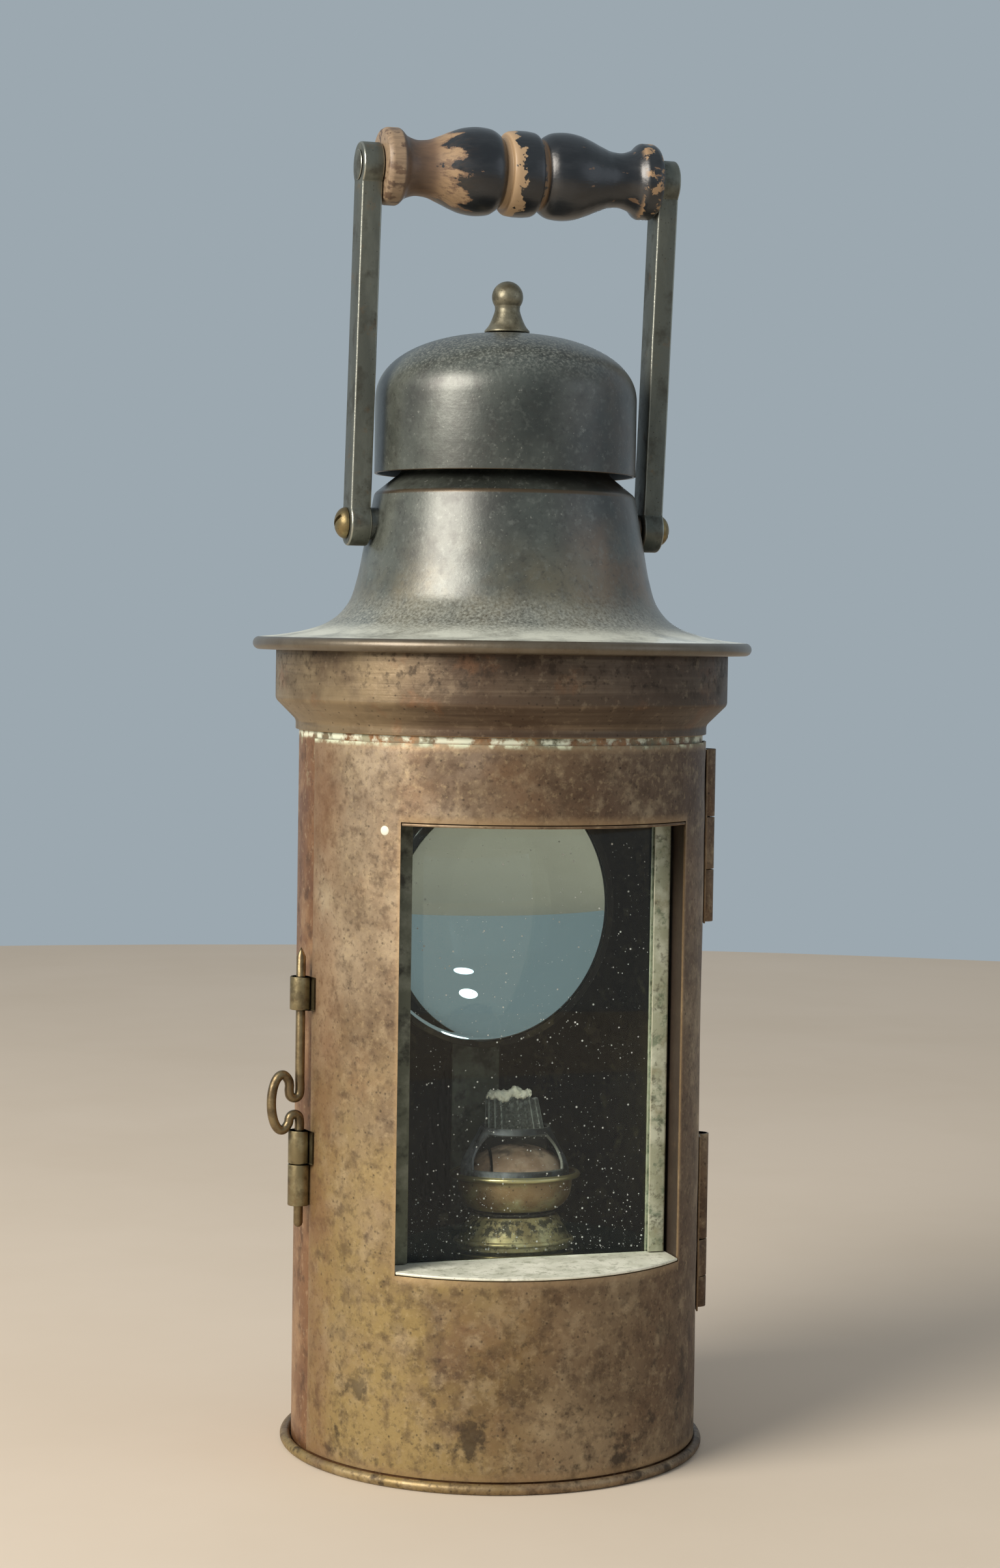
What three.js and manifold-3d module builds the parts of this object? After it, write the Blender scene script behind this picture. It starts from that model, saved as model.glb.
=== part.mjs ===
import * as THREE from "three";
import { mergeVertices } from "three/addons/utils/BufferGeometryUtils.js";
import Module from "manifold-3d";

// Bullseye lantern. Lengths are in millimetres and angles in degrees. The base stands on z = 0, the
// door faces -Y and its hinges are at +X. A bearing is measured from the front towards +X.

// Driving dimensions of the whole lantern
const sheet = 0.8; // copper sheet of case, door and band
const clearance = 0.3; // gap kept between pieces that touch or pass through each other
const overrun = 3; // how far a cutting solid passes beyond what it cuts
const coarse = 40; // facets round the case
const medium = 24; // facets round the burner and the lens
const fine = 14; // facets round small turned pieces
const wireFacets = 8; // facets round a wire

// Shell and base
const bodyRadius = 63.5;
const bandFootHeight = 227.2; // where the band's cone grows out of the shell
const shellTopDrop = 3.2; // shell's top edge below the band's top edge
const mouthHalfAngle = 62; // doorway in the shell, either side of the front
const mouthSill = 10;
const mouthHeadDrop = 10; // doorway's top below the band's foot
const beadRadius = 1.6;
const panRecess = 1;
const footWidth = 8.5; // flat ring of the pan that stands on the table

// Door
const doorLeftAngle = -79;
const doorRightAngle = 77.8;
const doorFootGap = 0.4; // above the base bead
const doorHeadGap = 2.2; // below the band's collar
const windowInset = 17.5; // window's outer edge inside the shell's own width
const windowSillHeight = 64.9;
const windowHeadDrop = 28.6; // window's top below the band's foot
const glazingInset = 26.5; // plane of the channels' front lips behind the shell's front
const lipWidth = 5.4;
const channelGap = 1; // dark slit between channel and jamb
const glassThickness = 2;

// Top band, canopy, chimney and dome
const bandOverhang = 7.5;
const bandHeight = 18.5;
const collarHeight = 2.9;
const skirtDepth = 15;
const brimOverhang = 7.3;
const canopySheet = 0.9;
const brimBeadRadius = 2;
const neckInset = 30.1; // neck inside the band
const flareRise = 45.2;
const flareShares = [
  [0.945, 0], [0.75, 0.018], [0.54, 0.053], [0.4, 0.094], [0.29, 0.155], [0.2, 0.25],
  [0.135, 0.41], [0.085, 0.62], [0, 1],
];
const shoulderInset = 8.6;
const shoulderRise = 6.9;
const flueRise = 7;
const domeLift = 6.2; // dome's edge above the top of the neck
const domeOverhang = 0.1;
const domeSkirt = 23.1;
const crownRise = 21.2;
const crownPower = 2.2; // a little squarer than a ball
const chimneyInset = 5.3; // chimney's mouth inside the flue
const chimneyFlangeHeight = 5;
const chimneyRise = 78; // flange to the mouth
const chimneyConeShare = 0.42;
const bridgeWidth = 12;
const bridgeThickness = 1.5;
const bridgeDrop = 18.5; // bridge's top below the crown's inside
const studRadius = 2;
const nutWidth = 8;
const nutHeight = 4;
const spacerWall = 1.6;

// Finial, in heights above the dome and radii
const finialWaist = 8.3; // height of the ball's seat
const finialRadius = 7.1;
const finialBallRadius = 4.9;
const finialShares = [
  [1, 0], [1, 0.06], [0.82, 0.25], [0.73, 0.4], [0.62, 0.64], [0.55, 0.89], [0.56, 0.96],
];

// Lens at the back, with its axis along Y
const lensDrop = 61.2; // lens's axis below the band's foot
const lensRadius = 41.2;
const lensFrontDepth = 11.4; // rim's front face behind the axis
const lensEdge = 8;
const lensFrontBulge = 11.3; // towards the flame
const lensBulge = 12.3;
const tubeWall = 0.8;
const hoodReach = 12.5; // tube's mouth beyond the shell's back
const bezelWidth = 5.2;
const bezelRim = 2.6;
const bezelLip = 1.8;
const springRingWidth = 0.9;
const strapWidth = 16;
const strapThickness = 1;
const strapDepth = 22.1; // front face of the strap behind the axis
const strapRise = 7.5; // strap's foot above the window's sill
const strapFlange = 12;

// Bail and grip
const pivotDrop = 9.8; // pivot below the top of the neck
const bossGap = 1.9; // bar's inner face beyond the neck at the pivot
const barThickness = 6.5;
const barWidth = 10;
const barEyeRadius = 7;
const bailLength = 108.9;
const bailLean = 5.1;
const bossRadius = 5;
const screwShankRadius = 2.4;
const screwHeadRadius = 4.85;
const screwHeadHeight = 3.4;
const screwSlotWidth = 1.2;
const screwSlotDepth = 1.3;
const screwSlotTilt = 35;
const gripRodRadius = 3;
const rivetHeadRadius = 4.6;
const rivetHeadHeight = 0.6;
const gripRadius = 13.5;
const gripShares = [
  [0.978, 0], [0.963, 0.09], [0.78, 0.148], [0.89, 0.18], [0.99, 0.27], [0.99, 0.37], [0.88, 0.49],
  [0.74, 0.59], [0.64, 0.68], [0.625, 0.745], [0.68, 0.81], [0.852, 0.88], [0.852, 0.975], [0.81, 1],
];

// Latch on the left edge of the door
const latchBearing = -81;
const wireRadius = 1.45;
const sleeveWall = 0.8;
const latchStandOff = 2.6; // wire's axis beyond the door's outer face
const tailThickness = 0.8;
const tailAngle = 4.6;
const keeperFoot = 79.5; // lower end of the keeper on the case
const keeperHeight = 12.7;
const lowerSleeveHeight = 10.2;
const upperSleeveGap = 20; // above the pull loop
const upperSleeveHeight = 10.2;
const pinReach = 9; // above the upper sleeve
const pinPoint = 3;
const pinTail = 6.9; // below the keeper
const loopHalfHeight = 8.5;
const loopReach = 9.3;
const loopThrow = 3.45; // half of the oval's own width
const loopBendGap = 0.25; // hollow left inside the wire's bends
const loopEndAngle = 132;

// Hinges on the right edge of the door
const hingeBearing = 80;
const knuckleRadius = 2.3;
const hingePinRadius = 0.9;
const leafThickness = 0.6;
const leafAngle = 5;
const leafGapAngle = 2.9; // from the hinge's bearing to where a leaf passes the other leaf's knuckles
const upperHingeDrop = 2.7; // below the door's top
const upperHingeHeight = 55;
const upperSplitShares = [0.3, 0.61]; // joints between the knuckles
const lowerHingeRise = 38; // above the door's foot
const lowerHingeHeight = 55.8;
const lowerSplitShares = [0.174, 0.394];

// Oil fount
const burnerX = 3;
const burnerTurn = -12;
const fountDrop = 5.1; // fount's top below the window's sill
const fountNeckHeight = 2.3;
const fountConeRise = 11.5;
const fountLedge = 3.3; // flat rim round the fount's hole
const fillerReach = 32;
const fillerRadius = 6.2;
const fillerWall = 1.2;
const fillerTopDrop = 2.5;
const capOverhang = 1;
const capHeight = 2.6;
const seatWidth = 3.7;
const seatGap = 1.3; // between the seat's ring and the shell
const fingerHeight = 14;
const fingerAngle = 16;
const fingerCount = 3;

// Burner, built out from the wick and up from the fount
const collarInset = 0.6; // collar inside the fount's neck
const collarRise = 4.5;
const collarPlugWall = 1;
const plugDepth = 2.2;
const burnerSheet = 0.8;
const burnerOverhang = 6.6; // air box beyond the hole in its top
const burnerHeight = 10.8;
const burnerPlugOverhang = 3.2;
const burnerPlugDepth = 6;
const burnerHoleGap = 0.7; // round the corners of the wick tube
const burnerBeadRadius = 0.8;
const burnerShares = [[0.989, 0.065], [0.994, 0.28], [0.844, 0.82], [0.756, 1]];
const dishOverhang = 9; // rim beyond the burner's hole
const dishGap = 2.5; // rim behind the glass
const dishHeight = 11.2;
const dishShares = [
  [1, 1], [0.94, 0.94], [0.897, 0.84], [0.882, 0.62], [0.843, 0.37], [0.755, 0.16], [0.66, 0.04],
];
const coneHeight = 15.6;
const coneInset = 3.3; // cone's foot inside the dish's rim
const coneSink = 1; // cone's foot below the dish's rim
const coneShares = [[1, 0], [0.982, 0.24], [0.842, 0.56], [0.678, 0.885], [0.632, 1]];
const archShares = [[0.83, 0.2], [0.83, 0.34], [0.73, 0.62], [0.54, 0.872]];
const lobeInset = 4.8; // inside the dish's rim
const lobeFoot = 4; // lobe's edge above the dish's floor
const lobeSkirt = 5;
const lobeRise = 10;
const lobeSlit = 0.9;
const lobeSlitShare = -0.52;
const wickWidth = 19.2;
const wickThickness = 2.4;
const wickReach = 14.2; // above the wick tube
const wickLift = 9.1; // above the fount's floor
const wickTubeWall = 0.6;
const wickTubeDepth = 10; // below the flange
const coneOverTube = 3.6; // flame cone's mouth above the wick tube
const spindleRadius = 1;
const spurRadius = 3.2;
const spurRootShare = 0.72;
const spurTeeth = 8;
const spurWidth = 1.2;
const spurSpacing = 10;
const spurGap = 0.4; // under the air box's top
const knobRadius = 4.4;
const knobLength = 3.2;
const knobGap = 1.6; // between knob and air box

// Places worked out from the driving dimensions
const doorInner = bodyRadius + clearance;
const doorRadius = doorInner + sheet;
const bandRadius = bodyRadius + bandOverhang;
const bandTop = bandFootHeight + bandOverhang + bandHeight;
const brimRadius = bandRadius + brimOverhang;
const brimTop = bandTop + canopySheet;
const neckTop = brimTop + flareRise;
const shoulderTop = neckTop + shoulderRise;
const neckRadius = bandRadius - neckInset;
const flueRadius = neckRadius - shoulderInset;
const chimneyTopRadius = flueRadius - chimneyInset;
const domeRadius = neckRadius + domeOverhang;
const domeFoot = neckTop + domeLift;
const crownTop = domeFoot + domeSkirt + crownRise;
const collarFoot = bandFootHeight + sheet + clearance - collarHeight;
const doorFoot = 2 * beadRadius + doorFootGap;
const doorTop = collarFoot - doorHeadGap;
const panTop = panRecess + sheet;
const pivotHeight = neckTop - pivotDrop;
const latchRadius = doorRadius + latchStandOff;
const sleeveBore = wireRadius + clearance;
const sleeveRadius = sleeveBore + sleeveWall;
const knuckleReach = bodyRadius + clearance + knuckleRadius;
const tubeRadius = lensRadius + clearance + tubeWall;
const tubeMouth = bodyRadius + hoodReach;
const lensHeight = bandFootHeight - lensDrop;
const windowHalfWidth = bodyRadius - windowInset;
const jambInner = windowHalfWidth - sheet;
const windowHead = bandFootHeight - windowHeadDrop;
const glazingDepth = bodyRadius - glazingInset;
const glassFront = sheet + clearance - glazingDepth;
const glassBack = glassFront + glassThickness;
const tubeInside = [wickWidth + 2 * clearance, wickThickness + 2 * clearance];
const tubeOutside = tubeInside.map((size) => size + 2 * wickTubeWall);
const burnerHoleRadius = Math.hypot(...tubeOutside) / 2 + burnerHoleGap;
const burnerRadius = burnerHoleRadius + burnerOverhang;
const burnerPlugRadius = burnerHoleRadius + burnerPlugOverhang;
const dishRadius = burnerHoleRadius + dishOverhang;
const burnerY = glassBack + dishGap + dishRadius;
const fountTop = windowSillHeight - fountDrop;
const baseFoot = fountTop + collarRise + 2 * clearance;
const baseTop = baseFoot + burnerHeight;
const flangeTop = baseTop + clearance + burnerSheet;
const dishFloor = flangeTop + clearance;
const coneFoot = dishFloor + dishHeight - coneSink;
const tubeTop = coneFoot + coneHeight - coneOverTube;
const spindleHeight = baseTop - burnerSheet - spurGap - spurRadius;

const wasm = await Module();
wasm.setup();

/** The closed solid that a geometry bounds, whichever way its faces point. */
function solid(geometry) {
  const bare = geometry.clone();
  for (const name of Object.keys(bare.attributes)) if (name !== "position") bare.deleteAttribute(name);
  const merged = mergeVertices(bare);
  const places = merged.attributes.position.array;
  const corner = (index) => new THREE.Vector3().fromArray(places, 3 * index);
  const faces = [];
  let volume = 0;
  for (let start = 0; start < merged.index.count; start += 3) {
    const [a, b, c] = [0, 1, 2].map((step) => merged.index.getX(start + step));
    if (a === b || b === c || c === a) continue;
    faces.push([a, b, c]);
    volume += corner(a).dot(corner(b).cross(corner(c)));
  }
  const triVerts = new Uint32Array(faces.flatMap(([a, b, c]) => (volume > 0 ? [a, b, c] : [a, c, b])));
  return new wasm.Manifold(new wasm.Mesh({ numProp: 3, vertProperties: new Float32Array(places), triVerts }));
}

/** The geometry of a solid. */
function geometryOf(body) {
  const mesh = body.getMesh();
  const geometry = new THREE.BufferGeometry();
  geometry.setAttribute("position", new THREE.BufferAttribute(mesh.vertProperties, 3));
  geometry.setIndex(new THREE.BufferAttribute(mesh.triVerts, 1));
  geometry.computeVertexNormals();
  return geometry;
}

/** The solids joined. */
const join = (...parts) => geometryOf(parts.map(solid).reduce((sum, next) => sum.add(next)));

/** The first solid without the others. */
const cut = (whole, ...tools) =>
  geometryOf(tools.map(solid).reduce((rest, tool) => rest.subtract(tool), solid(whole)));

/** What two solids share. */
const common = (one, other) => geometryOf(solid(one).intersect(solid(other)));

const radians = THREE.MathUtils.degToRad;
const degrees = THREE.MathUtils.radToDeg;

/** Points on an arc about (x, y), from one angle to another in degrees. */
function arc(x, y, radius, from, to, steps, otherRadius = radius) {
  return Array.from({ length: steps + 1 }, (_, step) => {
    const angle = radians(from + ((to - from) * step) / steps);
    return [x + radius * Math.cos(angle), y + otherRadius * Math.sin(angle)];
  });
}

/** The line parallel to a line of points, at a distance to the left of its direction. */
function beside(line, distance) {
  const side = (from, to) => new THREE.Vector2(from[1] - to[1], to[0] - from[0]).normalize();
  return line.map((point, index) => {
    const last = index === line.length - 1;
    const before = index > 0 ? side(line[index - 1], point) : side(point, line[1]);
    const after = last ? before : side(point, line[index + 1]);
    const start = index > 0 ? before : after;
    const shift = start.clone().add(after).multiplyScalar(distance / (1 + start.dot(after)));
    return [point[0] + shift.x, point[1] + shift.y];
  });
}

/** The outline of a sheet of one thickness, whose outer face follows a line and whose back is on its left. */
const sheetAlong = (line, thickness) => [...line, ...beside(line, thickness).reverse()];

/** A solid of revolution about Z. Profile points are a radius and a height. */
function turned(profile, facets) {
  const points = profile.map(([radius, height]) => new THREE.Vector2(radius, height));
  const [first, last] = [points[0], points[points.length - 1]];
  if (first.x > 0 || last.x > 0) points.push(first.clone());
  return new THREE.LatheGeometry(points, facets).rotateX(radians(90));
}

/** An upright cylinder between two heights. */
const post = (radius, foot, top, facets = fine) =>
  turned([[0, foot], [radius, foot], [radius, top], [0, top]], facets);

/** An upright ring with a square section. */
const ring = (inner, outer, foot, top, facets) =>
  turned([[inner, foot], [outer, foot], [outer, top], [inner, top]], facets);

/** A flat outline raised from one height to another, with holes in it. */
function prism(outline, foot, top, holes = []) {
  const toPoints = (line) => line.map(([x, y]) => new THREE.Vector2(x, y));
  const shape = new THREE.Shape(toPoints(outline));
  shape.holes = holes.map((hole) => new THREE.Path(toPoints(hole)));
  const settings = { depth: top - foot, bevelEnabled: false };
  return new THREE.ExtrudeGeometry(shape, settings).translate(0, 0, foot);
}

/** A block between two corners. */
function block([x0, y0, z0], [x1, y1, z1]) {
  const box = new THREE.BoxGeometry(x1 - x0, y1 - y0, z1 - z0);
  return box.translate((x0 + x1) / 2, (y0 + y1) / 2, (z0 + z1) / 2);
}

/** Part of an upright ring between two bearings. */
function sector(inner, outer, from, to, foot, top, steps = 2) {
  const ends = [from - 90, to - 90];
  const outside = arc(0, 0, outer, ...ends, steps);
  return prism([...outside, ...arc(0, 0, inner, ...ends, steps).reverse()], foot, top);
}

/** Moves an upright piece from the lantern's axis to a radius and a bearing. */
function atBearing(geometry, radius, bearing) {
  return geometry.translate(0, -radius, 0).rotateZ(radians(bearing));
}

const alongX = (geometry) => geometry.rotateY(radians(90));
const alongY = (geometry) => geometry.rotateX(radians(-90));
const circle = (x, y, radius, facets = fine) => arc(x, y, radius, 0, 360 - 360 / facets, facets - 1);

/** A rectangle about the origin. */
function oblong(width, depth) {
  const [x, y] = [width / 2, depth / 2];
  return [[-x, -y], [x, -y], [x, y], [-x, y]];
}

/** A hexagonal nut with a bore, standing on z = 0. */
const nut = (width, height, bore) =>
  prism(circle(0, 0, width / 2 / Math.cos(radians(30)), 6), 0, height, [circle(0, 0, bore)]);

/** A route through chosen points, with one ring of a swept tube at each. */
class Route extends THREE.Curve {
  constructor(points) {
    super();
    this.points = points;
  }

  getPoint(share) {
    const place = share * (this.points.length - 1);
    const index = Math.min(Math.floor(place), this.points.length - 2);
    return this.points[index].clone().lerp(this.points[index + 1], place - index);
  }

  getPointAt(share) {
    return this.getPoint(share);
  }

  getTangentAt(share) {
    const index = Math.round(share * (this.points.length - 1));
    const step = (from) => this.points[from + 1].clone().sub(this.points[from]).normalize();
    const [before, after] = [Math.max(index - 1, 0), Math.min(index, this.points.length - 2)];
    return step(before).add(step(after)).normalize();
  }
}

/** A round wire along a route. */
function wire(points, radius) {
  const section = new THREE.Shape(circle(0, 0, radius, wireFacets).map(([x, y]) => new THREE.Vector2(x, y)));
  const path = new Route(points);
  return new THREE.ExtrudeGeometry(section, { steps: points.length - 1, extrudePath: path });
}

const lantern = new THREE.Group();
const bail = new THREE.Group();
const burner = new THREE.Group();
bail.position.set(0, 0, pivotHeight);
bail.rotation.x = radians(bailLean);
burner.position.set(burnerX, burnerY, 0);
burner.rotation.z = radians(burnerTurn);
lantern.add(bail, burner);

/** Adds a named piece with a material of its own. */
function add(name, geometry, [color, roughness, metalness], holder = lantern) {
  const material = new THREE.MeshStandardMaterial({ color, roughness, metalness });
  const mesh = new THREE.Mesh(geometryOf(solid(geometry)), material);
  mesh.name = name;
  holder.add(mesh);
}

// Finishes as colour, roughness and metalness
const brownCopper = [0x7a5134, 0.5, 0.8];
const brightCopper = [0xa5602f, 0.45, 0.9];
const darkCopper = [0x463d33, 0.55, 0.75];
const brassFinish = [0xa58a4c, 0.4, 0.9];
const ironFinish = [0x4b4d47, 0.5, 0.8];
const sootFinish = [0x242220, 0.9, 0.2];
const tinFinish = [0x9a988c, 0.5, 0.7];
const woodFinish = [0x2a211c, 0.5, 0];
const cottonFinish = [0x8f8a80, 0.95, 0];
const glassFinish = [0xcfd8d4, 0.08, 0];

// Shell: a rolled sheet with a doorway in front and a round hole for the lens tube behind
const shellFoot = sheet + clearance;
const shellTop = bandTop - shellTopDrop;
const doorway = sector(bodyRadius - sheet - overrun, bodyRadius + overrun, -mouthHalfAngle, mouthHalfAngle,
  mouthSill, bandFootHeight - mouthHeadDrop, coarse / 4);
const lensHole = alongY(post(tubeRadius + clearance, 0, bodyRadius + overrun, medium));
const rolled = ring(bodyRadius - sheet, bodyRadius, shellFoot, shellTop, coarse);
add("body_shell", cut(rolled, doorway, lensHole.translate(0, 0, lensHeight)), brightCopper);

// Base pan: a dished floor, a flat foot ring and a wired edge outside the shell
const beadCentre = bodyRadius + clearance + beadRadius;
const footInner = beadCentre - beadRadius - footWidth;
add("base_pan", turned([
  [0, panRecess], [footInner - panRecess, panRecess], [footInner, 0],
  ...arc(beadCentre, beadRadius, beadRadius, -90, 180, 6),
  [beadCentre - beadRadius, sheet], [footInner + sheet, sheet],
  [footInner + sheet - panRecess, panTop], [0, panTop],
], coarse), brownCopper);

// Top band: a collar on the shell, a cone and an upright ring
add("top_band", turned(sheetAlong([
  [doorRadius, collarFoot], [doorRadius, collarFoot + collarHeight],
  [bandRadius, collarFoot + collarHeight + bandRadius - doorRadius], [bandRadius, bandTop],
], sheet), coarse), brownCopper);

// Canopy: brim with a wired edge, flared neck, shoulder and flue in one spun sheet, and a skirt in the band
const flareLine = flareShares.map(([out, up]) => [
  neckRadius + (brimRadius - neckRadius) * out, brimTop + flareRise * up,
]);
const canopyLine = [...flareLine, [flueRadius, shoulderTop], [flueRadius, shoulderTop + flueRise]];
const brimEdge = arc(brimRadius - brimBeadRadius, brimTop - brimBeadRadius, brimBeadRadius, 0, 300, 5);
const skirtRadius = bandRadius - sheet - clearance;
const skirt = ring(skirtRadius - sheet, skirtRadius, bandTop - skirtDepth, brimTop, coarse);

/** The neck's outer radius at a height. */
function neckRadiusAt(height) {
  const above = flareLine.findIndex(([, level]) => level >= height);
  const [[lowRadius, low], [highRadius, high]] = [flareLine[above - 1], flareLine[above]];
  return lowRadius + ((highRadius - lowRadius) * (height - low)) / (high - low);
}

const spunSheet = turned(sheetAlong(canopyLine, canopySheet), coarse);
const shankHole = alongX(post(screwShankRadius + clearance, -bandRadius, bandRadius));
add("canopy", cut(
  join(spunSheet, turned(brimEdge, coarse), skirt),
  shankHole.translate(0, 0, pivotHeight),
), darkCopper);

// Inner chimney: flange inside the shell, a cone and a straight mouth
const chimneyFlange = bodyRadius - sheet - clearance;
const chimneyFoot = shellTop - 2 * chimneyFlangeHeight;
add("inner_chimney", turned(sheetAlong([
  [chimneyFlange, chimneyFoot], [chimneyFlange, chimneyFoot + chimneyFlangeHeight],
  [chimneyTopRadius + canopySheet, chimneyFoot + chimneyRise * chimneyConeShare],
  [chimneyTopRadius, chimneyFoot + chimneyRise],
], sheet), medium), sootFinish);

// Dome: a straight skirt and a crown whose section is a squared quarter circle
const crownStart = domeFoot + domeSkirt;
const crownAngles = [0, 15, 28, 40, 52, 64, 76];
const crownLine = crownAngles.map((angle) => {
  const [side, rise] = [Math.cos(radians(angle)), Math.sin(radians(angle))];
  const stretch = (side ** crownPower + rise ** crownPower) ** (-1 / crownPower);
  return [domeRadius * side * stretch, crownStart + crownRise * rise * stretch];
});
const domeLine = [[domeRadius, domeFoot], ...crownLine, [studRadius + clearance, crownTop]];
const crownInside = crownTop - canopySheet;
add("dome_cap", turned(sheetAlong(domeLine, canopySheet), coarse - fine / 2), darkCopper);

// Bridge across the flue that carries the dome, with its stud's spacer and nut
const bridgeTop = crownInside - bridgeDrop;
const bridgeReach = flueRadius - canopySheet - clearance - bridgeThickness / 2;
const bridgeLine = [
  [bridgeReach, shoulderTop], [bridgeReach, bridgeTop],
  [-bridgeReach, bridgeTop], [-bridgeReach, shoulderTop],
];
const bridgeBlank = prism(sheetAlong(bridgeLine, bridgeThickness), -bridgeWidth / 2, bridgeWidth / 2);
const studHole = post(studRadius + clearance, bridgeTop - overrun, bridgeTop + overrun);
add("dome_bridge", cut(bridgeBlank.rotateX(radians(90)), studHole), ironFinish);
const studBore = studRadius + clearance;
add("dome_spacer", ring(
  studBore, studBore + spacerWall, bridgeTop + clearance, crownInside - clearance, fine,
), ironFinish);

const domeNutTop = bridgeTop - bridgeThickness - clearance;
const domeNut = nut(nutWidth, nutHeight, studRadius + clearance);
add("dome_nut", domeNut.translate(0, 0, domeNutTop - nutHeight), brassFinish);

// Finial: base, waist and ball on a stud that goes down through dome, spacer, bridge and nut
const finialFoot = crownTop + clearance;
const studFoot = domeNutTop - nutHeight - clearance;
const ballStart = -35;
const ballCentre = finialFoot + finialWaist - finialBallRadius * Math.sin(radians(ballStart));
add("finial", turned([
  [0, studFoot], [studRadius, studFoot], [studRadius, finialFoot],
  ...finialShares.map(([out, up]) => [finialRadius * out, finialFoot + finialWaist * up]),
  ...arc(0, ballCentre, finialBallRadius, ballStart, 75, 7), [0, ballCentre + finialBallRadius],
], fine), brassFinish);

// Lens tube, lens, spring ring and bezel, drawn about Z and laid along Y
const inTube = (geometry) => alongY(geometry).translate(0, 0, lensHeight);
const tubeFront = lensFrontDepth - clearance - tubeWall;
const tubeBore = tubeRadius - tubeWall;
const tubeLip = lensRadius - tubeWall;
add("lens_tube", inTube(turned([
  [tubeLip, tubeFront], [tubeRadius, tubeFront], [tubeRadius, tubeMouth], [tubeBore, tubeMouth],
  [tubeBore, tubeFront + tubeWall], [tubeLip, tubeFront + tubeWall],
], medium)), brownCopper);
const ballRadius = (reach, bulge) => (reach ** 2 + bulge ** 2) / (2 * bulge);
const frontBallRadius = ballRadius(tubeLip - tubeWall, lensFrontBulge);
const frontApex = lensFrontDepth - lensFrontBulge;
const frontRim = degrees(Math.asin(1 - lensFrontBulge / frontBallRadius));
const bulgeRadius = ballRadius(lensRadius, lensBulge);
const bulgeCentre = lensFrontDepth + lensEdge + lensBulge - bulgeRadius;
const bulgeRim = degrees(Math.asin(1 - lensBulge / bulgeRadius));
add("bullseye_lens", inTube(turned([
  [0, frontApex], ...arc(0, frontApex + frontBallRadius, frontBallRadius, -86, -frontRim, 6),
  [lensRadius, lensFrontDepth],
  ...arc(0, bulgeCentre, bulgeRadius, bulgeRim, 86, 6), [0, bulgeCentre + bulgeRadius],
], medium)), glassFinish);
const ringInner = tubeBore - clearance - springRingWidth;
const ringFoot = bulgeCentre + Math.sqrt(bulgeRadius ** 2 - (ringInner - clearance) ** 2);
const ringTop = ringFoot + 2 * springRingWidth;
const springRing = ring(ringInner, tubeBore - clearance, ringFoot, ringTop, medium);
const ringGap = block(
  [-springRingWidth, 0, ringFoot - overrun], [springRingWidth, tubeRadius, ringTop + overrun],
);
add("lens_spring_ring", inTube(cut(springRing, ringGap)), ironFinish);
const bezelInner = tubeRadius + clearance;
const bezelFace = tubeMouth + clearance;
add("lens_bezel", inTube(turned([
  [bezelInner, bezelFace - bezelWidth + tubeWall], [bezelInner + bezelRim, bezelFace - bezelWidth + tubeWall],
  [bezelInner + bezelRim, bezelFace + tubeWall], [tubeRadius - bezelLip, bezelFace + tubeWall],
  [tubeRadius - bezelLip, bezelFace], [bezelInner, bezelFace],
], medium)), brassFinish);

// Strap that stands under the lens tube and is fixed to the back of the shell
const strapTop = lensHeight - tubeRadius - clearance;
const strapFoot = windowSillHeight + strapRise;
const strapBack = Math.sqrt((bodyRadius - sheet) ** 2 - (strapWidth / 2) ** 2) - clearance;
const strapLine = [
  [strapDepth, strapTop], [strapDepth, strapFoot],
  [strapBack, strapFoot], [strapBack, strapFoot + strapFlange],
];
const strap = prism(sheetAlong(strapLine, strapThickness), -strapWidth / 2, strapWidth / 2);
add("lens_strap", strap.rotateX(radians(90)).rotateZ(radians(90)), tinFinish);

// Door: a curved sheet with a window whose upright edges are folded in as jambs
const cutFoot = windowSillHeight - sheet - clearance;
const cutTop = windowHead + sheet + clearance;
const glazingBack = glazingDepth - 2 * sheet - glassThickness - 2 * clearance;
const windowCut = block([-jambInner, -doorRadius - overrun, cutFoot], [jambInner, 0, cutTop]);
const curved = (geometry) => common(geometry, post(doorRadius, doorFoot, doorTop, 2 * coarse));
const jamb = (inner, outer) =>
  curved(block([inner, -doorRadius - overrun, cutFoot], [outer, -glazingBack, cutTop]));
const doorSheet = sector(doorInner, doorRadius, doorLeftAngle, doorRightAngle, doorFoot, doorTop, coarse / 2);
add("door_panel", join(
  cut(doorSheet, windowCut), jamb(jambInner, windowHalfWidth), jamb(-windowHalfWidth, -jambInner),
), brownCopper);

// Sill and head: flat plates from the door's face to behind the glass
const plateHalf = jambInner - clearance;
const plateBack = glazingBack - clearance;
const plate = (foot) =>
  curved(block([-plateHalf, -doorRadius - overrun, foot], [plateHalf, -plateBack, foot + sheet]));
add("window_sill", plate(windowSillHeight - sheet), tinFinish);
add("window_head", plate(windowHead), brownCopper);

// Channels of U section that hold the glass, one a mirror of the other
const channelOuter = jambInner - channelGap;
const channelFoot = windowSillHeight + clearance;
const channelTop = windowHead - clearance;
const channelOutline = sheetAlong([
  [channelOuter - lipWidth, -glazingDepth], [channelOuter, -glazingDepth],
  [channelOuter, -glazingBack], [channelOuter - lipWidth, -glazingBack],
], sheet);
for (const [name, side] of [["left", -1], ["right", 1]]) {
  const outline = channelOutline.map(([x, y]) => [side * x, y]);
  add(`${name}_glass_channel`, prism(outline, channelFoot, channelTop), tinFinish);
}
const glassHalf = channelOuter - sheet - clearance;
add("window_glass", block(
  [-glassHalf, glassFront, channelFoot], [glassHalf, glassBack, channelTop],
), glassFinish);

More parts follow.
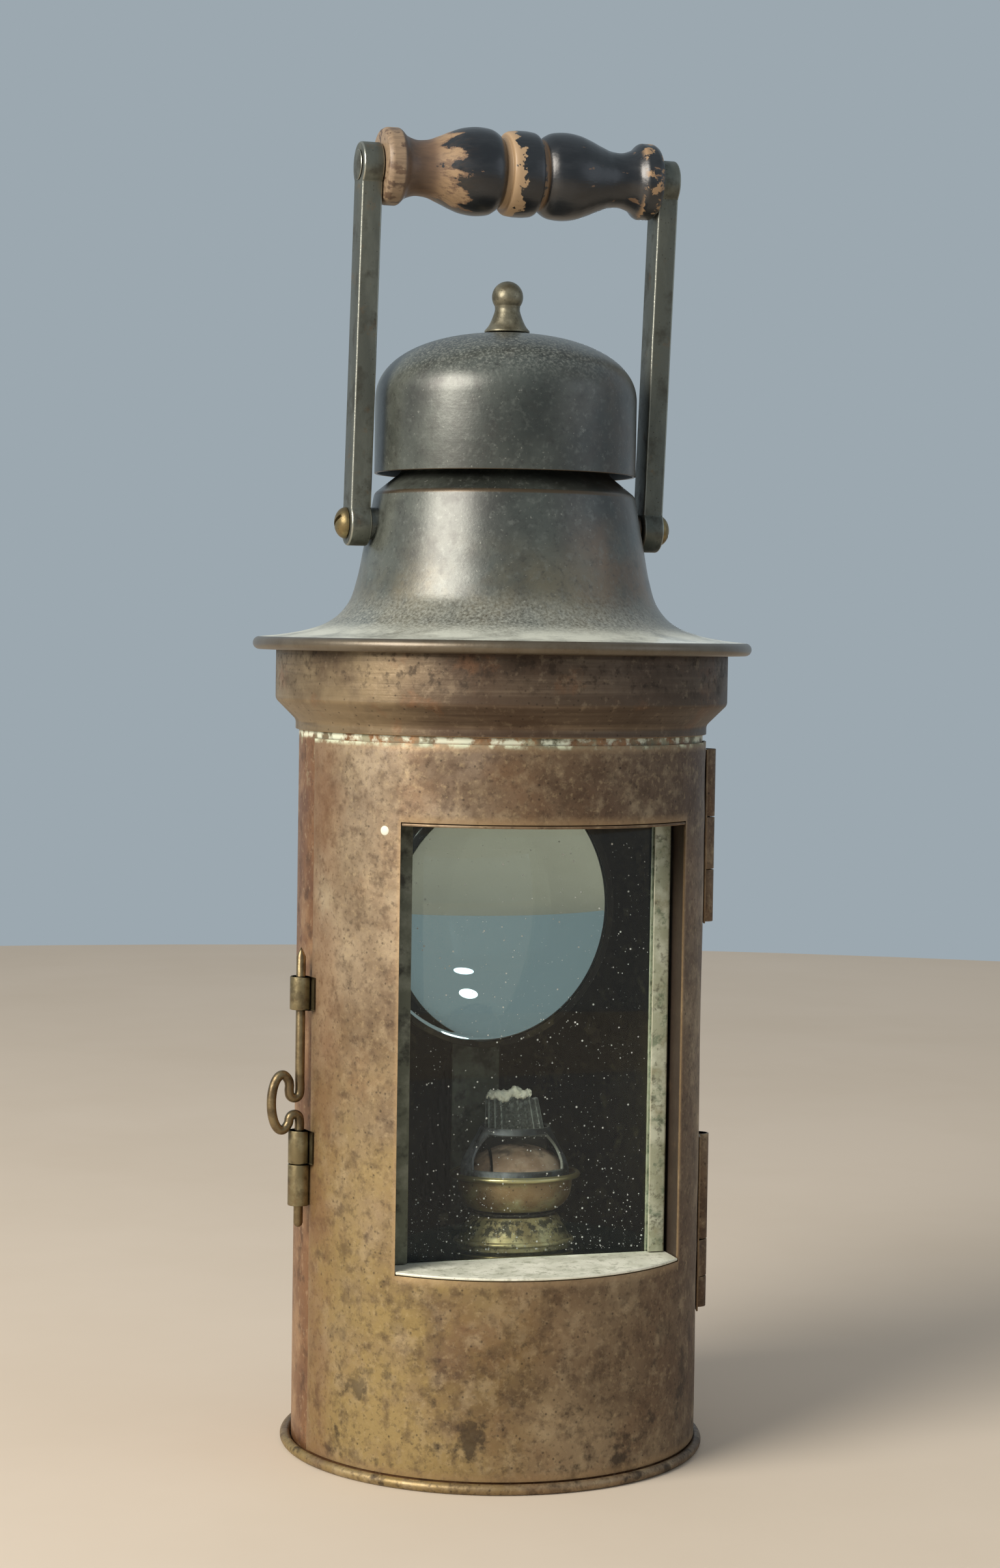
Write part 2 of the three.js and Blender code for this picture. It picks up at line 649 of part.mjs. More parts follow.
// Sleeves that guide the latch wire: two on the door and the keeper on the case
const tailOuter = doorRadius + clearance + tailThickness;
const doorBody = post(doorRadius + clearance, doorFoot, doorTop, 2 * coarse);
const atLatch = (geometry) => atBearing(geometry, latchRadius, latchBearing);
const latchBore = atLatch(post(sleeveBore, doorFoot, doorTop, wireFacets));

/** A sleeve on the door between two heights, with its soldered tail. */
function doorSleeve(foot, top) {
  const tail = sector(doorRadius, tailOuter, latchBearing, latchBearing + tailAngle, foot, top);
  return cut(join(atLatch(post(sleeveRadius, foot, top)), tail), latchBore, doorBody);
}

const keeperTop = keeperFoot + keeperHeight;
const lowerSleeveFoot = keeperTop + clearance;
const lowerSleeveTop = lowerSleeveFoot + lowerSleeveHeight;
const loopCentreHeight = lowerSleeveTop + clearance + loopHalfHeight;
const upperSleeveFoot = loopCentreHeight + loopHalfHeight + upperSleeveGap;
const upperSleeveTop = upperSleeveFoot + upperSleeveHeight;
add("upper_latch_sleeve", doorSleeve(upperSleeveFoot, upperSleeveTop), tinFinish);
add("lower_latch_sleeve", doorSleeve(lowerSleeveFoot, lowerSleeveTop), tinFinish);
const keeperPart = (outer, width) =>
  sector(doorInner, outer, latchBearing - width, latchBearing, keeperFoot, keeperTop);
add("latch_keeper", cut(join(
  atLatch(post(sleeveRadius, keeperFoot, keeperTop)),
  keeperPart(latchRadius, tailAngle / 2),
  keeperPart(doorInner + tailThickness, tailAngle),
), latchBore), tinFinish);

// Latch pin: one bent wire with a pull loop, pointed above and rounded below
const pinFoot = keeperFoot - pinTail;
const pinTop = upperSleeveTop + pinReach;
const loopBendRadius = wireRadius + loopBendGap;
const loopMiddle = loopReach - loopThrow;
const upperBend = loopCentreHeight + 2 * wireRadius;
const lowerBend = loopCentreHeight - loopHalfHeight + 2 * wireRadius;
const pinRoute = [
  [0, pinTop - pinPoint], [0, upperBend],
  ...arc(loopBendRadius, upperBend, loopBendRadius, 210, 345, 4),
  ...arc(loopMiddle, loopCentreHeight, loopThrow, loopEndAngle, -loopEndAngle, 12, loopHalfHeight),
  ...arc(loopBendRadius, lowerBend, loopBendRadius, 15, 150, 4),
  [0, lowerBend], [0, pinFoot + wireRadius],
].map(([out, height]) => new THREE.Vector3(0, -out, height));
const tipFoot = pinTop - pinPoint - wireRadius;
const pinTip = turned([
  [0, tipFoot], [wireRadius, tipFoot], [wireRadius, pinTop - pinPoint], [0, pinTop],
], wireFacets);
const pinEnd = turned([
  ...arc(0, pinFoot + wireRadius, wireRadius, -90, 0, 2),
  [wireRadius, pinFoot + 2 * wireRadius], [0, pinFoot + 2 * wireRadius],
], wireFacets);
add("latch_pin", atLatch(join(wire(pinRoute, wireRadius), pinTip, pinEnd)), ironFinish);

// Hinges: the case's leaf has the end knuckles and the door's leaf has the middle one
const knuckleBore = hingePinRadius + clearance;
const leafOuter = doorRadius + clearance + leafThickness;
const atHinge = (geometry) => atBearing(geometry, knuckleReach, hingeBearing);
const knuckle = (from, to) => atHinge(post(knuckleRadius, from, to));
const leafSpan = leafGapAngle + leafAngle;

/** Part of a case leaf between two heights, from an angle past the hinge's bearing. */
function caseLeaf(from, to, start = 0) {
  const outer = doorInner + leafThickness;
  return sector(doorInner, outer, hingeBearing + start, hingeBearing + leafSpan, from, to);
}

/** Part of a door leaf between two heights, up to an angle short of the hinge's bearing. */
function doorLeaf(from, to, end = 0) {
  return sector(doorRadius + clearance, leafOuter, hingeBearing - leafSpan, hingeBearing - end, from, to);
}

for (const [name, foot, height, splitShares] of [
  ["upper", doorTop - upperHingeDrop - upperHingeHeight, upperHingeHeight, upperSplitShares],
  ["lower", doorFoot + lowerHingeRise, lowerHingeHeight, lowerSplitShares],
]) {
  const top = foot + height;
  const [low, high] = splitShares.map((share) => foot + height * share);
  const [doorLow, doorHigh] = [low + clearance, high - clearance];
  const bore = atHinge(post(knuckleBore, foot - overrun, top + overrun, wireFacets));
  add(`${name}_hinge_case_leaf`, cut(join(
    knuckle(foot, low), knuckle(high, top),
    caseLeaf(foot, top, leafGapAngle), caseLeaf(foot, low), caseLeaf(high, top),
  ), bore), brownCopper);
  add(`${name}_hinge_door_leaf`, cut(join(
    knuckle(doorLow, doorHigh), doorLeaf(foot, top, leafGapAngle), doorLeaf(doorLow, doorHigh),
  ), bore), brownCopper);
  add(`${name}_hinge_pin`, atHinge(post(hingePinRadius, foot, top, wireFacets)), ironFinish);
}

// Bail: two flat bars with round eyes and a rod through the grip, leaning forward about the pivots
const barInner = neckRadiusAt(pivotHeight) + bossGap;
const barOuter = barInner + barThickness;
const eyeAngle = degrees(Math.asin(barWidth / 2 / barEyeRadius));
const barOutline = [
  ...arc(0, 0, barEyeRadius, 90 + eyeAngle, 450 - eyeAngle, 9),
  ...arc(0, bailLength, barEyeRadius, eyeAngle - 90, 270 - eyeAngle, 9),
];
const barHoles = [
  circle(0, 0, screwShankRadius + clearance), circle(0, bailLength, gripRodRadius + clearance),
];
const barBlank = prism(barOutline, 0, barThickness, barHoles).rotateX(radians(90)).rotateZ(radians(90));
add("left_bail_bar", barBlank.clone().translate(-barOuter, 0, 0), ironFinish, bail);
add("right_bail_bar", barBlank.clone().translate(barInner, 0, 0), ironFinish, bail);
const headInner = barOuter + clearance;
const rodEnd = headInner + rivetHeadHeight;
const gripRod = join(
  post(gripRodRadius, -rodEnd, rodEnd),
  post(rivetHeadRadius, -rodEnd, -headInner), post(rivetHeadRadius, headInner, rodEnd),
);
add("grip_rod", alongX(gripRod).translate(0, 0, bailLength), ironFinish, bail);

// Grip: a turned wooden handle, the same on either side of its middle ring
const gripHalf = barInner - clearance;
const gripLine = gripShares.map(([out, along]) => [gripRadius * out, gripHalf * along]);
const gripBore = gripRodRadius + clearance;
const grip = turned([
  ...gripLine, [gripBore, gripHalf], [gripBore, -gripHalf],
  ...gripLine.slice(1).reverse().map(([radius, along]) => [radius, -along]),
], fine);
add("wood_grip", alongX(grip).translate(0, 0, bailLength), woodFinish, bail);

// Pivots: a boss outside the neck, a slotted round-head screw and a nut inside on either side
const neckLine = beside(flareLine, -clearance);
const neckOuter = turned([[0, brimTop], ...neckLine, [0, neckTop]], coarse);
const neckInside = neckRadiusAt(pivotHeight + nutWidth) - canopySheet;
const nutFace = Math.sqrt(neckInside ** 2 - (nutWidth / 2) ** 2) - clearance;
const screwEnd = nutFace - nutHeight;
const headFoot = barOuter + clearance;
const headTop = headFoot + screwHeadHeight;
for (const [name, turn] of [["left", 180], ["right", 0]]) {
  const onSide = (geometry) => alongX(geometry).rotateZ(radians(turn)).translate(0, 0, pivotHeight);
  const bossBlank = ring(screwShankRadius + clearance, bossRadius, nutFace, barInner - clearance, fine);
  add(`${name}_bail_boss`, cut(onSide(bossBlank), neckOuter), darkCopper);
  const screw = turned([
    [0, screwEnd], [screwShankRadius, screwEnd], [screwShankRadius, headFoot], [screwHeadRadius, headFoot],
    ...arc(0, headFoot, screwHeadRadius, 15, 75, 4, screwHeadHeight), [0, headTop],
  ], fine);
  const slot = block(
    [-screwSlotWidth / 2, -screwHeadRadius, headTop - screwSlotDepth],
    [screwSlotWidth / 2, screwHeadRadius, headTop + overrun],
  );
  add(`${name}_pivot_screw`, onSide(cut(screw, slot.rotateZ(radians(screwSlotTilt)))), brassFinish);
  const pivotNut = nut(nutWidth, nutHeight, screwShankRadius + clearance).translate(0, 0, screwEnd);
  add(`${name}_pivot_nut`, onSide(pivotNut), brassFinish);
}

// Fount: a drum with a coned top, a hole for the burner and a filler neck
const fountFoot = panTop + clearance;
const seatOuter = bodyRadius - sheet - seatGap - Math.hypot(burnerX, burnerY);
const seatInner = seatOuter - seatWidth;
const fountRadius = seatInner - clearance;
const fountHoleRadius = burnerPlugRadius + collarPlugWall + 2 * clearance;
const fountNeckRadius = fountHoleRadius + fountLedge;
const fountNeckFoot = fountTop - fountNeckHeight;
const fountWall = fountNeckFoot - fountConeRise;
const fountSlope = fountConeRise / (fountRadius - fountNeckRadius);
const fillerTop = fountTop - fillerTopDrop;
const fillerFoot = fountWall + (fountRadius - fillerReach - fillerRadius) * fountSlope;
const atFiller = (geometry) => geometry.translate(0, fillerReach, 0);
const fountShell = turned(sheetAlong([
  [0, fountFoot], [fountRadius, fountFoot], [fountRadius, fountWall], [fountNeckRadius, fountNeckFoot],
  [fountNeckRadius, fountTop], [fountHoleRadius, fountTop],
], sheet), medium);
add("oil_fount", cut(
  join(fountShell, atFiller(post(fillerRadius, fillerFoot, fillerTop))),
  atFiller(post(fillerRadius - fillerWall, fountWall - overrun, fillerTop + overrun)),
), brassFinish, burner);
const capFoot = fillerTop + clearance;
add("filler_cap", atFiller(join(
  post(fillerRadius + capOverhang, capFoot, capFoot + capHeight),
  post(fillerRadius - fillerWall - clearance, fillerFoot, capFoot + capHeight / 2),
)), brassFinish, burner);

// Seat: a ring on the pan with upright fingers round the fount
const seatTop = fountFoot + sheet;
const fingers = Array.from({ length: fingerCount }, (_, index) => {
  const start = (360 / fingerCount) * index - fingerAngle / 2;
  return sector(seatInner, seatInner + sheet, start, start + fingerAngle, fountFoot, seatTop + fingerHeight);
});
const seatRing = ring(seatInner, seatOuter, fountFoot, seatTop, 2 * medium);
add("fount_seat", join(seatRing, ...fingers), ironFinish, burner);

// Collar on the fount
const collarBottom = fountTop + clearance;
const collarTop = collarBottom + collarRise;
const collarBore = burnerPlugRadius + clearance;
const plugRadius = collarBore + collarPlugWall;
const collarRadius = fountNeckRadius - collarInset;
add("fount_collar", turned([
  [collarBore, collarBottom - plugDepth], [plugRadius, collarBottom - plugDepth],
  [plugRadius, collarBottom], [collarRadius, collarBottom],
  [collarRadius, collarTop], [collarBore, collarTop],
], medium), brassFinish, burner);

// Burner base: a plug in the collar and a coned air box with a beaded rim
const baseLine = [
  [burnerPlugRadius, baseFoot - burnerPlugDepth], [burnerPlugRadius, baseFoot],
  ...burnerShares.map(([out, up]) => [burnerRadius * out, baseFoot + burnerHeight * up]),
  [burnerHoleRadius, baseTop],
];
const beadHeight = baseFoot + burnerHeight * burnerShares[1][1];
const baseBead = circle(burnerRadius + burnerBeadRadius / 4, beadHeight, burnerBeadRadius, wireFacets);
const spindleY = wickThickness / 2 + clearance + spurRadius;
const boreReach = burnerRadius + overrun;
const spindleBore = alongX(post(spindleRadius + clearance, -boreReach, boreReach, wireFacets));
add("burner_base", cut(
  join(turned(sheetAlong(baseLine, burnerSheet), medium), turned(baseBead, medium)),
  spindleBore.translate(0, spindleY, spindleHeight),
), brassFinish, burner);

// Wick tube: a flat tube with a round flange and two slots for the spur wheels
const flangeFoot = flangeTop - burnerSheet;
const tubeFoot = flangeFoot - wickTubeDepth;
const flange = post(burnerHoleRadius + 2 * burnerSheet, flangeFoot, flangeTop, medium);
const wickBore = prism(oblong(...tubeInside), tubeFoot - overrun, tubeTop + overrun);
const spurSlots = [-1, 1].map((side) => block(
  [(side * spurSpacing - spurWidth) / 2 - clearance, 0, spindleHeight - spurRadius - clearance],
  [(side * spurSpacing + spurWidth) / 2 + clearance, tubeOutside[1], spindleHeight + spurRadius + clearance],
));
const flatTube = prism(oblong(...tubeOutside), tubeFoot, tubeTop);
add("wick_tube", cut(join(flatTube, flange), wickBore, ...spurSlots), brassFinish, burner);

// Dish: an open bowl with a flared rim
const dishLine = dishShares.map(([out, up]) => [dishRadius * out, dishFloor + dishHeight * up]).reverse();
const dishSheet = sheetAlong([[burnerHoleRadius, dishFloor], ...dishLine], burnerSheet);
add("burner_dish", turned(dishSheet, medium), brassFinish, burner);

// Flame cone: a coned hood with an arched opening in front
const coneFootRadius = dishRadius - coneInset;
const coneLine = coneShares.map(([out, up]) => [coneFootRadius * out, coneFoot + coneHeight * up]);
const archHalf = archShares.map(([out, up]) => [coneFootRadius * out, coneFoot + coneHeight * up]);
const archOutline = [...archHalf, ...archHalf.map(([x, y]) => [-x, y]).reverse()];
const arch = prism(archOutline, 0, coneFootRadius + overrun).rotateX(radians(90));
add("flame_cone", cut(turned(sheetAlong(coneLine, burnerSheet), medium), arch), sootFinish, burner);

// Lobe: a domed air spreader with a slot for the wick tube and a slit beside it
const lobeRadius = dishRadius - lobeInset;
const lobeBase = dishFloor + burnerSheet + lobeFoot;
const lobeShoulder = lobeBase + lobeSkirt;
const lobeTop = lobeShoulder + lobeRise;
const lobeInner = lobeRadius - burnerSheet;
const lobeShell = turned([
  [lobeRadius, lobeBase], ...arc(0, lobeShoulder, lobeRadius, 0, 90, 6, lobeRise).slice(0, -1), [0, lobeTop],
  [0, lobeTop - burnerSheet], ...arc(0, lobeShoulder, lobeInner, 90, 0, 6, lobeRise - burnerSheet).slice(1),
  [lobeInner, lobeBase],
], medium);
const slotOutline = oblong(...tubeOutside.map((size) => size + 2 * clearance));
const wickSlot = prism(slotOutline, lobeBase - overrun, lobeTop + overrun);
const slitX = lobeRadius * lobeSlitShare;
const slit = block(
  [slitX - lobeSlit / 2, -lobeRadius - overrun, lobeBase + lobeSkirt / 2],
  [slitX + lobeSlit / 2, 0, lobeTop + overrun],
);
add("burner_lobe", cut(lobeShell, wickSlot, slit), brightCopper, burner);

// Wick and the spindle whose spur wheels raise it
const wickFoot = fountFoot + sheet + wickLift;
add("wick", prism(oblong(wickWidth, wickThickness), wickFoot, tubeTop + wickReach), cottonFinish, burner);
const toothStep = 180 / spurTeeth;
const spurOutline = Array.from({ length: 2 * spurTeeth }, (_, index) => {
  const [angle, radius] = [radians(toothStep * index), index % 2 ? spurRadius * spurRootShare : spurRadius];
  return [radius * Math.cos(angle), radius * Math.sin(angle)];
});
const spur = (middle) => prism(spurOutline, middle - spurWidth / 2, middle + spurWidth / 2);
const knobReach = burnerRadius + burnerBeadRadius + knobGap;
const knobEnd = -knobReach - knobLength;
const winder = join(
  post(spindleRadius, knobEnd + knobLength / 2, burnerRadius * burnerShares[2][0]),
  post(knobRadius, knobEnd, -knobReach),
  spur(-spurSpacing / 2), spur(spurSpacing / 2),
);
add("wick_winder", alongX(winder).translate(0, spindleY, spindleHeight), brassFinish, burner);

export default lantern;
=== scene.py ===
"""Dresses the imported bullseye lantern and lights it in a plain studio.

Lengths are in millimetres until a mesh is made, and a bearing is measured in degrees from the front (-Y)
towards +X, as in the CAD source. Every piece stands where its CAD node stands.
"""

import logging
from dataclasses import dataclass, field
from enum import StrEnum, auto
from functools import partial, reduce
from math import asin, cos, degrees, radians, sin, sqrt

import bmesh
import bpy
import numpy as np
from mathutils import Matrix, Vector
from mathutils.geometry import tessellate_polygon


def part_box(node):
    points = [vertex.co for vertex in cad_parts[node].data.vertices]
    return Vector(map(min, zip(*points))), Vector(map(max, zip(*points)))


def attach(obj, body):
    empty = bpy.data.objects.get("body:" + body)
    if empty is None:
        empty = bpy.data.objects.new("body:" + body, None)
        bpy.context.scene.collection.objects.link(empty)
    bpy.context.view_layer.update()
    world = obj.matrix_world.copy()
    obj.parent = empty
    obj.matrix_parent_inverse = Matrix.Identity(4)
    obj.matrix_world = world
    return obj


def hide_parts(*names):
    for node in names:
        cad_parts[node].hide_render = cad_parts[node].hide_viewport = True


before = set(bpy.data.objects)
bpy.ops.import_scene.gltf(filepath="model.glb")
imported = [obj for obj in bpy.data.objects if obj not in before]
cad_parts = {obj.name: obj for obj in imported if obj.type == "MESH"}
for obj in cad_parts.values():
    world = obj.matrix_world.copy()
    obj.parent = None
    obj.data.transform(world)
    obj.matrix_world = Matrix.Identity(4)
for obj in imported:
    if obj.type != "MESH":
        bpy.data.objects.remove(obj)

MM = 0.001
Array = np.ndarray
Tree = bpy.types.NodeTree
Socket = bpy.types.NodeSocket
Pair = tuple[float, float]
Triple = tuple[float, float, float]
Line = tuple[Pair, ...]
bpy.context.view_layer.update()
LOG = logging.getLogger("lantern")
logging.basicConfig(level=logging.INFO, format="%(name)s: %(message)s")


class Body(StrEnum):
    """The CAD bodies that pieces ride on."""

    CASE = auto()
    DOOR = auto()
    LATCH = auto()
    BAIL = auto()
    GRIP = auto()
    WINDER = auto()
    WICK = auto()


class Slot(StrEnum):
    """The record's material slots."""

    BROWN_COPPER = auto()
    BRIGHT_COPPER = auto()
    DARK_COPPER = auto()
    BRASS = auto()
    IRON = auto()
    SOOTY_IRON = auto()
    TINNED_BRASS = auto()
    WORN_WOOD = auto()
    COTTON = auto()
    GLASS = auto()


class Pattern(StrEnum):
    """How a layer of a finish is spread."""

    CLOUDS = auto()
    SPECKS = auto()
    EDGES = auto()


# Colours and nodes


def linear(code: str) -> tuple[float, ...]:
    """Turns an sRGB hex colour to linear light by the standard sRGB curve.

    Args:
        code: the colour as #rrggbb.

    Returns:
        The linear red, green, blue and an alpha of 1.
    """
    shares = np.array([int(code[i : i + 2], 16) for i in (1, 3, 5)]) / 255
    light = np.where(shares <= 0.04045, shares / 12.92, ((shares + 0.055) / 1.055) ** 2.4)
    return (*light.tolist(), 1.0)


def fill(node: bpy.types.Node, values: dict) -> None:
    """Fills a node's inputs.

    Args:
        node: the node.
        values: what goes into its inputs, by name or number; an output socket is linked.
    """
    for name, value in values.items():
        if isinstance(value, Socket):
            node.id_data.links.new(value, node.inputs[name])
        else:
            node.inputs[name].default_value = value


def add_node(tree: Tree, kind: str, values: dict | None = None, **settings) -> bpy.types.Node:
    """Adds a shader node to a tree.

    Args:
        tree: the node tree.
        kind: the node's type name after ShaderNode.
        values: what goes into its inputs, as fill takes it.
        settings: the node's own properties.

    Returns:
        The new node.
    """
    node = tree.nodes.new("ShaderNode" + kind)
    for name, value in settings.items():
        setattr(node, name, value)
    fill(node, values or {})
    return node


def per_size(size: float, stretch: Triple) -> list[float]:
    """The scale that gives a pattern its size in millimetres: stretch / size along each axis."""
    return [1 / (MM * size) * factor for factor in stretch]


# Lines and surfaces


def arc(x: float, y: float, radius: float, start: float, end: float, steps: int, other: float = 0) -> Array:
    """Points on an arc of a circle or an ellipse: (x + radius cos a, y + other sin a), a in even steps."""
    angle = np.radians(np.linspace(start, end, steps + 1))
    return np.stack([x + radius * np.cos(angle), y + (other or radius) * np.sin(angle)], -1)


def beside(line: Array, distance: float, closed: bool = False) -> Array:
    """The line parallel to a line, at a distance to its left: each corner moves along its mitre, which is the
    sum of the two side normals over one plus their dot product.

    Args:
        line: points of the line.
        distance: how far to the left.
        closed: whether the line comes back to its start.

    Returns:
        As many points as the line has.
    """
    line = np.asarray(line, float)
    step = np.roll(line, -1, 0) - line
    after = np.stack([-step[:, 1], step[:, 0]], -1) / np.maximum(np.linalg.norm(step, axis=1), 1e-9)[:, None]
    before = np.roll(after, 1, 0)
    if not closed:
        after[-1], before[0] = before[-1], after[0]
    return line + distance * (before + after) / (1 + (before * after).sum(-1))[:, None]


def soften(outline: Array, cut: float, closed: bool = True, steps: int = 4) -> Array:
    """Rounds the corners sharper than 20 degrees: each is cut back along both sides and joined by the
    quadratic curve (1-t)^2 a + 2t(1-t) b + t^2 c.

    Args:
        outline: points of the outline.
        cut: how far a corner is cut back.
        closed: whether the outline comes back to its start.
        steps: steps in each curve.

    Returns:
        The rounded outline.
    """
    outline = np.asarray(outline, float)
    back, ahead = np.roll(outline, 1, 0) - outline, np.roll(outline, -1, 0) - outline
    back_length, ahead_length = (np.maximum(np.linalg.norm(side, axis=1), 1e-9) for side in (back, ahead))
    straight = -(back * ahead).sum(1) / (back_length * ahead_length)
    sharp = straight < cos(radians(20))
    if not closed:
        sharp[[0, -1]] = False
    reach = np.minimum(cut, 0.45 * np.minimum(back_length, ahead_length))[:, None]
    first = outline + back / back_length[:, None] * reach
    last = outline + ahead / ahead_length[:, None] * reach
    t = np.linspace(0, 1, steps + 1)[None, :, None]
    curve = (1 - t) ** 2 * first[:, None] + 2 * t * (1 - t) * outline[:, None] + t**2 * last[:, None]
    curve[~sharp] = outline[~sharp][:, None]
    return curve[sharp[:, None] | (np.arange(steps + 1) == 0)[None]]


def smooth_line(points: Array, steps: int = 6) -> Array:
    """A smooth curve through points: Hermite pieces whose slopes are averaged by the neighbouring chords.

    Args:
        points: the points to pass through.
        steps: steps from one point to the next.

    Returns:
        The finer line.
    """
    points = np.asarray(points, float)
    chord = np.diff(points, axis=0)
    length = np.linalg.norm(chord, axis=1)[:, None]
    slope = chord / length
    inner = (slope[:-1] * length[1:] + slope[1:] * length[:-1]) / (length[1:] + length[:-1])
    slope = np.vstack([slope[:1], inner, slope[-1:]])
    t = (np.arange(steps) / steps)[None, :, None]
    low, high = points[:-1, None], points[1:, None]
    start, end = (slope[:-1] * length)[:, None], (slope[1:] * length)[:, None]
    curve = (2 * t**3 - 3 * t**2 + 1) * low + (t**3 - 2 * t**2 + t) * start
    curve = curve + (3 * t**2 - 2 * t**3) * high + (t**3 - t**2) * end
    return np.vstack([curve.reshape(-1, points.shape[1]), points[-1:]])


def sheet_outline(line: Array, thickness: float, edge: float = 0.25) -> Array:
    """The closed outline of a sheet whose face follows a line and whose back is on its left."""
    line = np.asarray(line, float)
    return soften(np.vstack([line, beside(line, thickness)[::-1]]), edge)


def scaled(shares: Array, width: float, height: float, foot: float = 0) -> Array:
    """Turns (share of a radius, share of a height) into lengths from a foot."""
    return np.asarray(shares, float) * [width, height] + [0, foot]


def runs(stops: tuple[float, ...], counts: tuple[int, ...]) -> Array:
    """Even steps from each stop to the next, with as many levels in each run as its count."""
    steps = [np.linspace(*run)[:-1] for run in zip(stops, stops[1:], counts)]
    return np.append(np.concatenate(steps), stops[-1])


def between(levels: Array, low: float, high: float) -> Array:
    """The levels from low to high, both taken in."""
    return levels[(levels >= low - 1e-6) & (levels <= high + 1e-6)]


def polar(radius: Array, bearing: Array, height: Array = 0.0) -> Array:
    """Points at a radius, bearing and height: (r sin b, -r cos b, z)."""
    radius, bearing, height = np.broadcast_arrays(radius, np.radians(bearing), height)
    return np.stack([radius * np.sin(bearing), -radius * np.cos(bearing), height], -1)


def turn_z(angle: float) -> Array:
    """The matrix of a turn about the upright axis."""
    return np.array(Matrix.Rotation(radians(angle), 3, "Z"))


ALONG_X = np.array([[0, 0, 1], [0, 1, 0], [-1, 0, 0]], float)
ALONG_Y = np.array([[1, 0, 0], [0, 0, 1], [0, -1, 0]], float)
STANDING = np.array([[1, 0, 0], [0, 0, -1], [0, 1, 0]], float)
SIDEWAYS = np.array([[0, 0, 1], [1, 0, 0], [0, 1, 0]], float)


@dataclass
class Surface:
    """Points and faces of a mesh, in millimetres."""

    points: Array
    faces: list

    def __add__(self, other: "Surface") -> "Surface":
        """Both surfaces in one."""
        moved = [[corner + len(self.points) for corner in face] for face in other.faces]
        return Surface(np.vstack([self.points, other.points]), self.faces + moved)

    def moved(self, turn: Array | None = None, shift: tuple = (0, 0, 0)) -> "Surface":
        """The surface turned by a matrix and then shifted."""
        points = self.points if turn is None else self.points @ np.asarray(turn).T
        return Surface(points + np.asarray(shift, float), self.faces)

    def flipped(self) -> "Surface":
        """The surface with its faces turned round."""
        return Surface(self.points, [face[::-1] for face in self.faces])

    def outward(self) -> "Surface":
        """A closed surface with its faces outwards: the volume, a sixth of the sum of the corners' triple
        products over fans of triangles, is made positive.

        Returns:
            The surface, or its flipped copy.
        """
        volume = 0.0
        for count in {len(face) for face in self.faces}:
            corners = self.points[np.array([face for face in self.faces if len(face) == count])]
            for step in range(1, count - 1):
                volume += np.einsum(
                    "ij,ij->", corners[:, 0], np.cross(corners[:, step], corners[:, step + 1])
                )
        return self if volume > 0 else self.flipped()


def joined(parts: list[Surface]) -> Surface:
    """All the surfaces in one."""
    return reduce(Surface.__add__, parts)


def grid(
    points: Array, round_rows: bool = False, round_columns: bool = False, keep: Array | None = None
) -> Surface:
    """A surface of quads over a grid of points.

    Args:
        points: rows by columns by 3.
        round_rows: whether the last row joins the first.
        round_columns: whether the last column joins the first.
        keep: which cells have a face, or None for all.

    Returns:
        The surface.
    """
    rows, columns = points.shape[:2]
    row, column = np.meshgrid(
        np.arange(rows - (not round_rows)), np.arange(columns - (not round_columns)), indexing="ij"
    )
    right, up = (column + 1) % columns, (row + 1) % rows
    faces = np.stack(
        [row * columns + column, row * columns + right, up * columns + right, up * columns + column], -1
    )
    faces = faces.reshape(-1, 4) if keep is None else faces[keep]
    return Surface(points.reshape(-1, 3), faces.tolist())


def revolve(outline: Array, segments: int = 128) -> Surface:
    """A turned solid: every outline point (radius, height) goes round Z as (r cos a, r sin a, z).

    Args:
        outline: a closed outline, or one that starts and ends on the axis.
        segments: steps round the axis.

    Returns:
        The closed surface.
    """
    outline = np.asarray(outline, float)
    solid = outline[0, 0] < 1e-9 and outline[-1, 0] < 1e-9
    angle = 2 * np.pi * np.arange(segments) / segments
    radius, height = outline[:, :1], outline[:, 1:] + 0 * angle
    points = np.stack([radius * np.cos(angle), radius * np.sin(angle), height], -1)
    return grid(points, round_rows=not solid, round_columns=True).outward()


